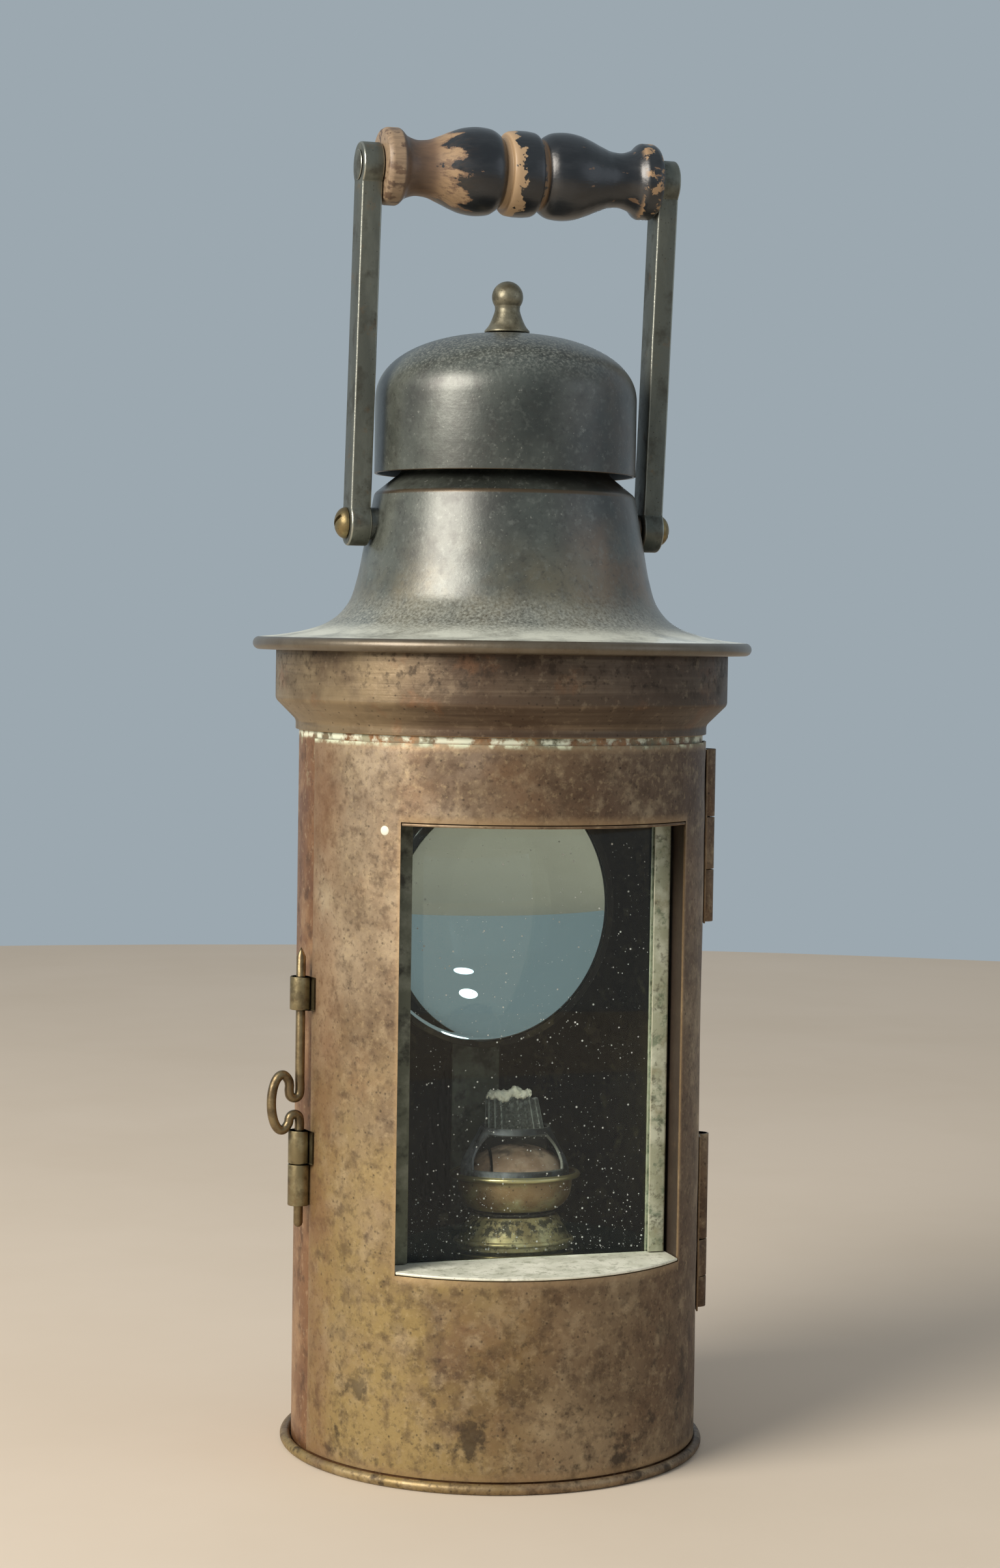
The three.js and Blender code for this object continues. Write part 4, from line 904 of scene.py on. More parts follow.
# The studio's floor: matt and pale, with a faint wide mottle
STUDIO_FLOOR = Finish(
    "matt_studio_floor", None, "#cfc4b4", 0.9, 0.0, layers=(Layer("#c6baa8", 300, 0.4, 0.65, 0.5),)
)
# The lobe's copper is burnt to taupe and cream by the flame
LOBE_COPPER = Finish(
    "flame_burnt_copper", Slot.BRIGHT_COPPER, "#8f7560", 0.6, 0.3,
    layers=(
        Layer("#b09c88", 8, 0.44, 0.62, 0.7, 0.8, 0.1, shift=2),
        Layer("#52433b", 5, 0.5, 0.64, 0.7, shift=6),
        Layer("#3b3733", 7, 0.4, 0.6, 0.8, 0.85, 0.1, shift=9, spans=(("Z", 93, 97),)),
    ),
    reliefs=(Relief(1.0, 0.06),),
)


@dataclass(frozen=True)
class Glass(Dressing):
    """Clear glass that lets lamps through, so that what it shuts in is lit."""

    tint: str
    roughness: float
    ior: float = 1.52

    def wire(self, tree: Tree, shader: bpy.types.Node) -> None:
        """Builds the glass: a Principled shader of full transmission, at soda-lime glass's IOR of 1.52 unless
        it says otherwise, and a clear shader for rays from lamps.

        Args:
            tree: the material's node tree.
            shader: its Principled shader.
        """
        tint = linear(self.tint)
        fill(shader, {"Base Color": tint, "Transmission Weight": 1.0})
        fill(shader, {"Roughness": self.roughness, "IOR": self.ior})
        from_lamp = add_node(tree, "LightPath").outputs["Is Shadow Ray"]
        clear = add_node(tree, "BsdfTransparent", {"Color": tint})
        mix = add_node(tree, "MixShader", {0: from_lamp, 1: shader.outputs[0], 2: clear.outputs[0]})
        fill(tree.nodes["Material Output"], {"Surface": mix.outputs[0]})


# Drawn window glass, nearly colourless; lamp smoke dulls its mirror, so it reflects as a lower IOR does
WINDOW_GLASS = Glass("drawn_window_glass", Slot.GLASS, "#eef3f0", 0.0, 1.34)
# Pressed and polished lens glass, with the faint green-blue of old glass in its depth
LENS_GLASS = Glass("pressed_lens_glass", Slot.GLASS, "#b9c8c3", 0.02)


# Pieces


def mark_worn(mesh: bpy.types.Mesh, edge: float) -> None:
    """Writes the point attribute worn, 1 on rounded edges: the mean over a point's edges of minus (normal .
    direction) / length is 1 / (4 radius) on an edge of that radius.

    Args:
        mesh: the finished mesh.
        edge: the edges' radius in millimetres.
    """
    count = len(mesh.vertices)
    points, normals = np.zeros(count * 3, np.float32), np.zeros(count * 3, np.float32)
    mesh.vertices.foreach_get("co", points)
    mesh.vertices.foreach_get("normal", normals)
    points, normals = points.reshape(-1, 3) / MM, normals.reshape(-1, 3)
    ends = np.zeros(len(mesh.edges) * 2, np.int32)
    mesh.edges.foreach_get("vertices", ends)
    one, other = ends.reshape(-1, 2).T
    step = points[other] - points[one]
    square = np.maximum((step**2).sum(1), 1e-6)
    bend = np.bincount(one, -(normals[one] * step).sum(1) / square, count)
    bend += np.bincount(other, (normals[other] * step).sum(1) / square, count)
    bend /= np.maximum(np.bincount(ends, minlength=count), 1)
    worn = np.clip((bend * 4 * edge - 0.6) / 0.3, 0, 1).astype(np.float32)
    mesh.attributes.new("worn", "FLOAT", "POINT").data.foreach_set("value", worn)


def new_object(name: str, surface: Surface, *dressings: Dressing) -> bpy.types.Object:
    """Puts a surface into the scene.

    Args:
        name: the object's name.
        surface: its shape in millimetres.
        dressings: its materials.

    Returns:
        The new object.
    """
    mesh = bpy.data.meshes.new(name)
    mesh.from_pydata((surface.points * MM).tolist(), [], surface.faces)
    for dressing in dressings:
        mesh.materials.append(dressing.material())
    thing = bpy.data.objects.new(name, mesh)
    bpy.context.scene.collection.objects.link(thing)
    return thing


def dress(
    name: str, surface: Surface, finish: Dressing, *nodes: str, body: Body = Body.CASE, wall: float = 0.0,
    inside: Finish | None = None, bevel: float = 0.0, edge: float = 0.25, sharp: float = 35.0,
) -> None:
    """Makes a piece of the lantern, hides the CAD nodes it stands for and hangs it under its body's empty.

    Args:
        name: the piece's name.
        surface: its shape in millimetres.
        finish: its finish.
        nodes: the CAD nodes it stands for.
        body: the body it rides on.
        wall: the thickness given to an open sheet, inwards.
        inside: the finish of the wall's inner face, where it has another.
        bevel: the rounding of its sharp edges.
        edge: the radius that counts as a worn edge.
        sharp: faces that meet at more than this angle keep a sharp edge.
    """
    piece = new_object(name, surface, *([finish, inside] if inside else [finish]))
    mesh = piece.data
    work = bmesh.new()
    work.from_mesh(mesh)
    bmesh.ops.remove_doubles(work, verts=work.verts, dist=1e-6)
    work.to_mesh(mesh)
    work.free()
    if wall:
        solid = piece.modifiers.new("wall", "SOLIDIFY")
        solid.thickness, solid.offset, solid.use_even_offset = wall * MM, -1.0, True
        solid.material_offset = 1 if inside else 0
    if bevel:
        rounding = piece.modifiers.new("rounding", "BEVEL")
        rounding.width, rounding.segments, rounding.limit_method = bevel * MM, 3, "ANGLE"
        rounding.angle_limit = radians(40)
    if wall or bevel:
        bpy.context.view_layer.update()
        done = bpy.data.meshes.new_from_object(piece.evaluated_get(bpy.context.evaluated_depsgraph_get()))
        piece.modifiers.clear()
        piece.data, done.name = done, name
        mesh = done
    mesh.shade_smooth()
    mesh.set_sharp_from_angle(angle=radians(sharp))
    mark_worn(mesh, edge)
    if nodes:
        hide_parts(*nodes)
    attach(piece, body.value)
    LOG.info("%s: %d faces on %s", name, len(mesh.polygons), body.value)


def refinish(node: str, finish: Finish) -> None:
    """Gives a CAD node that stays a better material.

    Args:
        node: the CAD node.
        finish: its finish.
    """
    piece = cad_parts[node]
    piece.data.materials.clear()
    piece.data.materials.append(finish.material())
    LOG.info("%s keeps its CAD shape", node)


@dataclass(frozen=True)
class Plan:
    """Sizes that several sub-assemblies share."""

    body_radius: float = 63.5
    sheet: float = 0.8
    gap: float = 0.3
    door_radius: float = 64.6
    door_foot: float = 3.6
    door_top: float = 223.2
    band_radius: float = 71.0
    band_top: float = 253.2
    brim_top: float = 254.1
    neck_radius: float = 40.9
    lens_height: float = 166.0
    pivot_height: float = 289.5
    sill: float = 64.9
    head: float = 198.6


PLAN = Plan()


@dataclass
class Case:
    """The rolled shell, its base pan and the band round its top."""

    doorway_half: float = 62.0
    doorway_foot: float = 10.0
    doorway_top: float = 217.2
    shell_foot: float = 1.1
    shell_top: float = 250.0
    lens_hole: float = 42.6
    patch_half: float = 50.0
    patch_foot: float = 118.0
    patch_top: float = 212.0
    bead_centre: float = 65.4
    bead_radius: float = 1.6
    foot_inner: float = 55.3
    pan_recess: float = 1.0
    rivet_count: int = 10
    rivet_start: float = -59.5
    rivet_height: float = 243.0
    rivet_size: Triple = (2.1, 0.3, 0.25)
    collar_foot: float = 225.4
    collar_top: float = 228.3
    ring_foot: float = 234.7

    def shell(self) -> Surface:
        """The rolled sheet's outer face: a grid of bearings and heights without the doorway, and round the
        lens's hole a patch that runs from a rectangle of the grid to the hole's circle, which on the shell
        is x = a cos t, z = h + a sin t.

        Returns:
            The open sheet.
        """
        radius, half = PLAN.body_radius, self.patch_half
        doorway = np.linspace(-self.doorway_half, self.doorway_half, 24)
        right = np.linspace(self.doorway_half, 180 - half, 18)
        back = np.linspace(180 - half, 180 + half, 36)
        bearing = np.concatenate([doorway[:-1], right[:-1], back[:-1], 360 - right[::-1][:-1]])
        levels = [self.shell_foot, self.doorway_foot, self.patch_foot, self.patch_top, self.doorway_top]
        rows = zip(levels, [*levels[1:], self.shell_top], (3, 18, 28, 2, 6))
        height = np.concatenate([np.linspace(*row, endpoint=False) for row in rows] + [[self.shell_top]])
        middle = (height[1:] + height[:-1])[:, None] / 2
        after = np.append(bearing[1:], bearing[0] + 360)
        side = (bearing + after)[None] / 2
        door = (side < self.doorway_half) & (middle > self.doorway_foot) & (middle < self.doorway_top)
        patch = (abs(side - 180) < half) & (middle > self.patch_foot) & (middle < self.patch_top)
        sheet = grid(polar(radius, bearing[None], height[:, None]), round_columns=True, keep=~(door | patch))
        level = between(height, self.patch_foot, self.patch_top)
        round_patch = ((back, level[0]), (back[-1], level), (back[::-1], level[-1]), (back[0], level[::-1]))
        loop = np.vstack([np.stack(np.broadcast_arrays(*side), -1)[:-1] for side in round_patch])
        rise = loop[:, 1] - PLAN.lens_height
        out = radius * np.sin(np.radians(loop[:, 0] - 180))
        turn = np.arctan2(rise, out)
        rim = np.column_stack([
            180 + np.degrees(np.arcsin(self.lens_hole * np.cos(turn) / radius)),
            PLAN.lens_height + self.lens_hole * np.sin(turn),
        ])
        share = np.array([0, 0.3, 0.6, 0.85, 1])[:, None, None]
        spots = loop * (1 - share) + rim * share
        return sheet + grid(polar(radius, spots[..., 0], spots[..., 1]), round_columns=True)

    def pan(self) -> Surface:
        """The base: a dished floor, a foot ring and a wired edge.

        Returns:
            The solid.
        """
        inner, recess, sheet = self.foot_inner, self.pan_recess, PLAN.sheet
        bead = arc(self.bead_centre, self.bead_radius, self.bead_radius, -90, 180, 20)
        outline = [[0, recess], [inner - recess, recess], [inner, 0], *bead]
        outline += [[self.bead_centre - self.bead_radius, sheet], [inner + sheet, sheet]]
        outline += [[inner + sheet - recess, recess + sheet], [0, recess + sheet]]
        return revolve(soften(outline, 0.3, closed=False), 160)

    def band(self) -> Surface:
        """The band: a collar on the shell, a cone and an upright ring, in one sheet with soft bends.

        Returns:
            The solid.
        """
        line = [[PLAN.door_radius, self.collar_foot], [PLAN.door_radius, self.collar_top]]
        line += [[PLAN.band_radius, self.ring_foot], [PLAN.band_radius, PLAN.band_top]]
        line = soften(line, 1.0, closed=False, steps=6)
        return revolve(sheet_outline(line, PLAN.sheet), 192)

    def rivets(self) -> Surface:
        """The band's flush rivets, a low dome at every tenth of a turn."""
        bearings = self.rivet_start + 360 / self.rivet_count * np.arange(self.rivet_count)
        return joined([rivet(*self.rivet_size, PLAN.band_radius, self.rivet_height, at) for at in bearings])

    def build(self) -> None:
        """Makes the case's pieces."""
        dress("shell", self.shell(), BRIGHT_COPPER, "body_shell", wall=PLAN.sheet,
              inside=SOOTED_COPPER, bevel=0.2)
        dress("base", self.pan(), BROWN_COPPER, "base_pan")
        dress("band", self.band(), BAND_COPPER, "top_band")
        dress("band_rivets", self.rivets(), BAND_COPPER)


@dataclass
class Chimney:
    """The canopy, the inner chimney and the dome with its finial."""

    sheet: float = 0.9
    brim_reach: float = 76.3
    brim_bead: float = 2.0
    bead_end: float = -213.4
    flare_out: float = 37.4
    flare_up: float = 45.2
    flue_radius: float = 32.3
    shoulder_top: float = 306.2
    flue_top: float = 313.2
    skirt_radius: float = 69.9
    skirt_foot: float = 238.2
    chimney_flange: float = 62.4
    chimney_foot: float = 240.0
    chimney_mouth: float = 27.0
    flange_height: float = 5.0
    cone_top: float = 272.8
    mouth_top: float = 318.0
    dome_radius: float = 41.0
    dome_foot: float = 305.5
    dome_skirt: float = 23.1
    crown_rise: float = 21.2
    crown_power: float = 2.2
    stud_hole: float = 2.3
    finial_foot: float = 350.1
    finial_radius: float = 7.1
    finial_waist: float = 8.3
    ball_radius: float = 4.9
    ball_start: float = -35.0
    stud_radius: float = 2.0
    stud_foot: float = 324.3
    bridge_line: Line = ((30.35, 306.2), (30.35, 330.4), (-30.35, 330.4), (-30.35, 306.2))
    bridge_sheet: float = 1.5
    bridge_half: float = 6.0
    flare_line: Line = (
        (0.945, 0), (0.75, 0.018), (0.54, 0.053), (0.4, 0.094), (0.29, 0.155), (0.2, 0.25), (0.135, 0.41),
        (0.085, 0.62), (0, 1),
    )
    waist_line: Line = (
        (1, 0), (1, 0.06), (0.82, 0.25), (0.73, 0.4), (0.62, 0.64), (0.55, 0.89), (0.56, 0.96),
    )

    def canopy(self) -> Surface:
        """The spun canopy as one outline: flue, shoulder, neck and flare outside, round the brim's wired edge,
        the skirt inside the band, and back under the sheet.

        Returns:
            The solid.
        """
        flare = scaled(self.flare_line, self.flare_out, self.flare_up) + [PLAN.neck_radius, PLAN.brim_top]
        flare = smooth_line(flare, 8)
        line = np.vstack([flare, [[self.flue_radius, self.shoulder_top], [self.flue_radius, self.flue_top]]])
        line = soften(line, 1.6, closed=False, steps=5)
        inside = beside(line, self.sheet)
        inner = self.skirt_radius - PLAN.sheet
        inside = inside[inside[:, 0] < inner - 2]
        bead = arc(self.brim_reach, PLAN.brim_top - self.brim_bead, self.brim_bead, 90, self.bead_end, 28)
        skirt = [[self.skirt_radius, PLAN.band_top], [self.skirt_radius, self.skirt_foot]]
        skirt += [[inner, self.skirt_foot], [inner, PLAN.band_top]]
        return revolve(soften(np.vstack([line[::-1][:-1], bead, skirt, inside]), 0.25), 192)

    def inner_chimney(self) -> Surface:
        """The inner chimney: a flange, a cone and a straight mouth.

        Returns:
            The solid.
        """
        line = [[self.chimney_flange, self.chimney_foot]]
        line += [[self.chimney_flange, self.chimney_foot + self.flange_height]]
        line += [[self.chimney_mouth + self.sheet, self.cone_top], [self.chimney_mouth, self.mouth_top]]
        return revolve(sheet_outline(soften(line, 2.0, closed=False), PLAN.sheet), 96)

    def dome(self) -> Surface:
        """The dome: a straight skirt and a crown that is a quarter of the superellipse x^p + y^p = 1.

        Returns:
            The solid.
        """
        angle = np.radians(np.linspace(0, 88, 40))
        side, rise = np.cos(angle), np.sin(angle)
        stretch = (side**self.crown_power + rise**self.crown_power) ** (-1 / self.crown_power)
        start = self.dome_foot + self.dome_skirt
        crown = np.column_stack([self.dome_radius * side * stretch, start + self.crown_rise * rise * stretch])
        crown = crown[crown[:, 0] > self.stud_hole + 0.4]
        top = [[self.stud_hole, start + self.crown_rise]]
        line = np.vstack([[[self.dome_radius, self.dome_foot]], crown, top])
        return revolve(sheet_outline(line, self.sheet), 160)

    def finial(self) -> Surface:
        """The finial: a moulded foot, a waist and a ball, on its stud.

        Returns:
            The solid.
        """
        waist = scaled(self.waist_line, self.finial_radius, self.finial_waist, self.finial_foot)
        waist = np.vstack([waist[:1], smooth_line(waist[1:], 5)])
        drop = self.ball_radius * sin(radians(self.ball_start))
        centre = self.finial_foot + self.finial_waist - drop
        ball = arc(0, centre, self.ball_radius, self.ball_start, 88, 24)
        stud = [[0, self.stud_foot], [self.stud_radius, self.stud_foot], [self.stud_radius, self.finial_foot]]
        line = np.vstack([stud, waist, ball, [[0, centre + self.ball_radius]]])
        return revolve(soften(line, 0.3, closed=False), 64)

    def bridge(self) -> Surface:
        """The bridge: a strip bent down at both ends, softened at its bends."""
        outline = sheet_outline(soften(self.bridge_line, 2.0, closed=False), self.bridge_sheet, 0.3)
        return prism(outline, -self.bridge_half, self.bridge_half, 0.3).moved(STANDING)

    def build(self) -> None:
        """Makes the chimney's pieces."""
        dress("canopy_spinning", self.canopy(), DARK_COPPER, "canopy", edge=2.0)
        dress("chimney", self.inner_chimney(), SOOTY_IRON, "inner_chimney")
        dress("dome", self.dome(), DARK_COPPER, "dome_cap")
        dress("finial_turning", self.finial(), WEATHERED_BRONZE, "finial")
        dress("bridge", self.bridge(), FORGED_IRON, "dome_bridge")
        refinish("dome_spacer", FORGED_IRON)
        refinish("dome_nut", AGED_BRASS)


@dataclass
class LensUnit:
    """The bullseye lens in its tube, drawn about Z and laid along Y."""

    lens_radius: float = 41.2
    front_face: float = 11.4
    front_radius: float = 39.6
    front_bulge: float = 11.3
    edge_length: float = 8.0
    bulge: float = 12.3
    tube_radius: float = 42.3
    tube_mouth: float = 76.0
    lip: float = 40.4
    ring_inner: float = 40.3
    ring_outer: float = 41.2
    bezel_inner: float = 42.6
    bezel_outer: float = 45.2
    bezel_foot: float = 71.9
    bezel_lip: float = 40.5
    ring_wire: float = 0.9
    strap_half: float = 8.0
    strap_sheet: float = 1.0
    strap_line: Line = ((22.1, 123.4), (22.1, 72.4), (61.9, 72.4), (61.9, 84.4))

    def laid(self, outline: Array, segments: int = 128) -> Surface:
        """A turned piece with its axis along Y at the lens's height."""
        return revolve(outline, segments).moved(ALONG_Y, (0, 0, PLAN.lens_height))

    def lens(self) -> Surface:
        """The lens: a straight edge between two bulges, each part of a ball of radius
        (reach^2 + bulge^2) / (2 bulge), with a narrow flat rim in front for the tube's lip.

        Returns:
            The solid.
        """
        caps = []
        for reach, bulge in ((self.front_radius, self.front_bulge), (self.lens_radius, self.bulge)):
            ball = (reach**2 + bulge**2) / (2 * bulge)
            cap = arc(0, bulge - ball, ball, degrees(asin(1 - bulge / ball)), 90, 48)
            cap[-1, 0] = 0
            caps.append(cap)
        front = [0, self.front_face] + caps[0][::-1] * [1, -1]
        back = caps[1] + [0, self.front_face + self.edge_length]
        line = np.vstack([front, [[self.lens_radius, self.front_face]], back])
        return self.laid(soften(line, 0.5, closed=False), 160)

    def build(self) -> None:
        """Makes the lens, its tube, ring, bezel and strap."""
        front = self.front_face - PLAN.gap - PLAN.sheet
        bore = self.tube_radius - PLAN.sheet
        tube = [
            [self.lip, front], [self.tube_radius, front], [self.tube_radius, self.tube_mouth],
            [bore, self.tube_mouth], [bore, front + PLAN.sheet], [self.lip, front + PLAN.sheet],
        ]
        dress("lens_barrel", self.laid(soften(tube, 0.25)), SOOTED_COPPER, "lens_tube")
        dress("bullseye", self.lens(), LENS_GLASS, "bullseye_lens", sharp=60)
        low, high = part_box("lens_spring_ring")
        ring = arc((self.ring_inner + self.ring_outer) / 2, 0, self.ring_wire / 2, 0, 345, 23)
        ring = ring * [1, (high.y - low.y) / MM / self.ring_wire] + [0, (high.y + low.y) / 2 / MM]
        dress("spring_ring", self.laid(ring), FORGED_IRON, "lens_spring_ring")
        face = self.tube_mouth + PLAN.gap
        bezel = [
            [self.bezel_inner, self.bezel_foot], [self.bezel_outer, self.bezel_foot],
            [self.bezel_outer, face + PLAN.sheet], [self.bezel_lip, face + PLAN.sheet],
            [self.bezel_lip, face], [self.bezel_inner, face],
        ]
        dress("bezel", self.laid(soften(bezel, 0.5)), AGED_BRASS, "lens_bezel", edge=0.4)
        line = soften(self.strap_line, 2.0, closed=False)
        strap = prism(sheet_outline(line, self.strap_sheet), -self.strap_half, self.strap_half)
        dress("strap", strap.moved(SIDEWAYS), SOOT_AND_SHADE_TIN, "lens_strap")


@dataclass
class Door:
    """The curved door with its framed window."""

    left: float = -79.0
    right: float = 77.8
    opening: float = 45.2
    cut_foot: float = 63.8
    cut_top: float = 199.7
    jamb_back: float = -32.8
    plate_half: float = 44.9
    plate_back: float = -32.5
    channel_outer: float = 44.2
    channel_lip: float = 5.4
    channel_front: float = -37.0
    glass_half: float = 43.1
    glass_front: float = -35.9
    glass_back: float = -33.9
    dent_depth: float = 0.07
    dust_seed: int = 7
    dust_count: int = 1500
    dust_half: float = 37.5
    dust_height: float = 128.0
    dust_least: float = 0.07
    dust_range: float = 0.26
    dust_depth: float = 0.04
    rivet_size: Triple = (1.55, 0.2, 0.5)
    rivet_height: float = 197.0
    rivet_bearing: float = -49.4

    def panel(self) -> Surface:
        """The door's sheet: a grid of bearings and heights without the window, whose upright edges go on as
        folded jambs. Slow dents, a sum of a few sines, fade out near every edge by f^2 (3 - 2 f).

        Returns:
            The open sheet.
        """
        window = degrees(asin(self.opening / PLAN.door_radius))
        bearing = runs((self.left, -window, window, self.right), (22, 40, 22))
        height = runs((PLAN.door_foot, self.cut_foot, self.cut_top, PLAN.door_top), (18, 40, 8))
        side, level = np.meshgrid(bearing, height)
        dent = np.sin(side / 9 + level / 31) * np.sin(level / 23 - side / 40) + np.sin(side / 5.3 - level / 12)
        away = [abs(abs(side) - window) / 6, (PLAN.door_top - level) / 9, (level - PLAN.door_foot) / 9]
        away += [abs(level - self.cut_foot) / 8, abs(level - self.cut_top) / 8]
        fade = np.prod(np.clip(away, 0, 1), axis=0)
        radius = PLAN.door_radius - self.dent_depth * (1 + dent) * fade**2 * (3 - 2 * fade)
        open_side = abs((side[1:, 1:] + side[1:, :-1]) / 2) < window
        middle = (level[1:, 1:] + level[:-1, 1:]) / 2
        opening = open_side & (middle > self.cut_foot) & (middle < self.cut_top)
        sheet = grid(polar(radius, side, level), keep=~opening)
        rows = between(height, self.cut_foot, self.cut_top)
        corner = -sqrt(PLAN.door_radius**2 - self.opening**2)
        depth, rise = np.meshgrid(np.linspace(corner, self.jamb_back, 5), rows)
        jamb = np.stack([np.full_like(depth, -self.opening), depth, rise], -1)
        return sheet + grid(jamb) + grid(jamb * [-1, 1, 1]).flipped()

    def plate(self, foot: float) -> Surface:
        """A flat plate from behind the glass to the door's curved face.

        Args:
            foot: its lower face.

        Returns:
            The solid.
        """
        end = degrees(asin(self.plate_half / PLAN.door_radius))
        front = arc(0, 0, PLAN.door_radius, -90 - end, -90 + end, 48)
        back = [[self.plate_half, self.plate_back]]
        outline = np.vstack([np.multiply(back, [-1, 1]), front, back])
        return prism(outline, foot, foot + PLAN.sheet, 0.25)

    def channel(self, side: int) -> Surface:
        """A channel of U section that holds one edge of the glass.

        Args:
            side: 1 for the right edge, -1 for the left.

        Returns:
            The solid.
        """
        outer, inner = self.channel_outer, self.channel_outer - self.channel_lip
        line = [[inner, self.channel_front], [outer, self.channel_front]]
        line += [[outer, self.jamb_back], [inner, self.jamb_back]]
        outline = sheet_outline(soften(line, 0.9, closed=False), PLAN.sheet, 0.2) * [side, 1]
        return prism(outline, PLAN.sill + PLAN.gap, PLAN.head - PLAN.gap, 0.2)

    def dust(self) -> Surface:
        """Dried specks on the pane: flat hexagons at seeded places, whose size is least + range u^5 and whose
        height is low + height v^1.7, so most are small and low down.

        Returns:
            The closed specks.
        """
        share = np.random.default_rng(self.dust_seed).random((self.dust_count, 4))
        middle = np.column_stack([
            (share[:, 0] * 2 - 1) * self.dust_half, np.full(self.dust_count, self.glass_front - 0.05),
            PLAN.sill + 2 + self.dust_height * share[:, 1] ** 1.7,
        ])
        angle = np.radians(np.arange(6) * 60.0) + 6 * share[:, 3:]
        size = self.dust_least + self.dust_range * share[:, 2:3] ** 5
        ring = np.stack([size * np.cos(angle), 0 * angle, size * np.sin(angle)], -1) + middle[:, None]
        faces = np.arange(self.dust_count * 6).reshape(-1, 6)
        back = ring + [0, self.dust_depth, 0]
        points = np.vstack([ring.reshape(-1, 3), back.reshape(-1, 3)])
        shift = self.dust_count * 6
        ahead = np.roll(faces, -1, 1)
        sides = np.stack([faces, faces + shift, ahead + shift, ahead], -1).reshape(-1, 4)
        return Surface(points, faces.tolist() + (faces[:, ::-1] + shift).tolist() + sides.tolist())

    def build(self) -> None:
        """Makes the door's pieces."""
        on_door = partial(dress, body=Body.DOOR)
        on_door("door_sheet", self.panel(), DOOR_COPPER, "door_panel", wall=PLAN.sheet, inside=SOOTED_COPPER,
                bevel=0.25)
        on_door("sill", self.plate(PLAN.sill - PLAN.sheet), DUSTY_SILL, "window_sill")
        on_door("head", self.plate(PLAN.head), DOOR_COPPER, "window_head")
        # The left channel gets the darkened strip as painted shade, in the shade of the door's left edge
        for name, side, finish in (("left", -1, SOOT_AND_SHADE_TIN), ("right", 1, TINNED_BRASS)):
            on_door(f"{name}_channel", self.channel(side), finish, f"{name}_glass_channel")
        pane = oblong(2 * self.glass_half, self.glass_back - self.glass_front)
        pane = pane + [0, (self.glass_front + self.glass_back) / 2]
        pane = prism(pane, PLAN.sill + PLAN.gap, PLAN.head - PLAN.gap, 0.1)
        on_door("pane", pane, WINDOW_GLASS, "window_glass")
        on_door("pane_dust", self.dust(), DUST)
        head = rivet(*self.rivet_size, PLAN.door_radius, self.rivet_height, self.rivet_bearing)
        on_door("window_rivet", head, DUSTY_SILL)


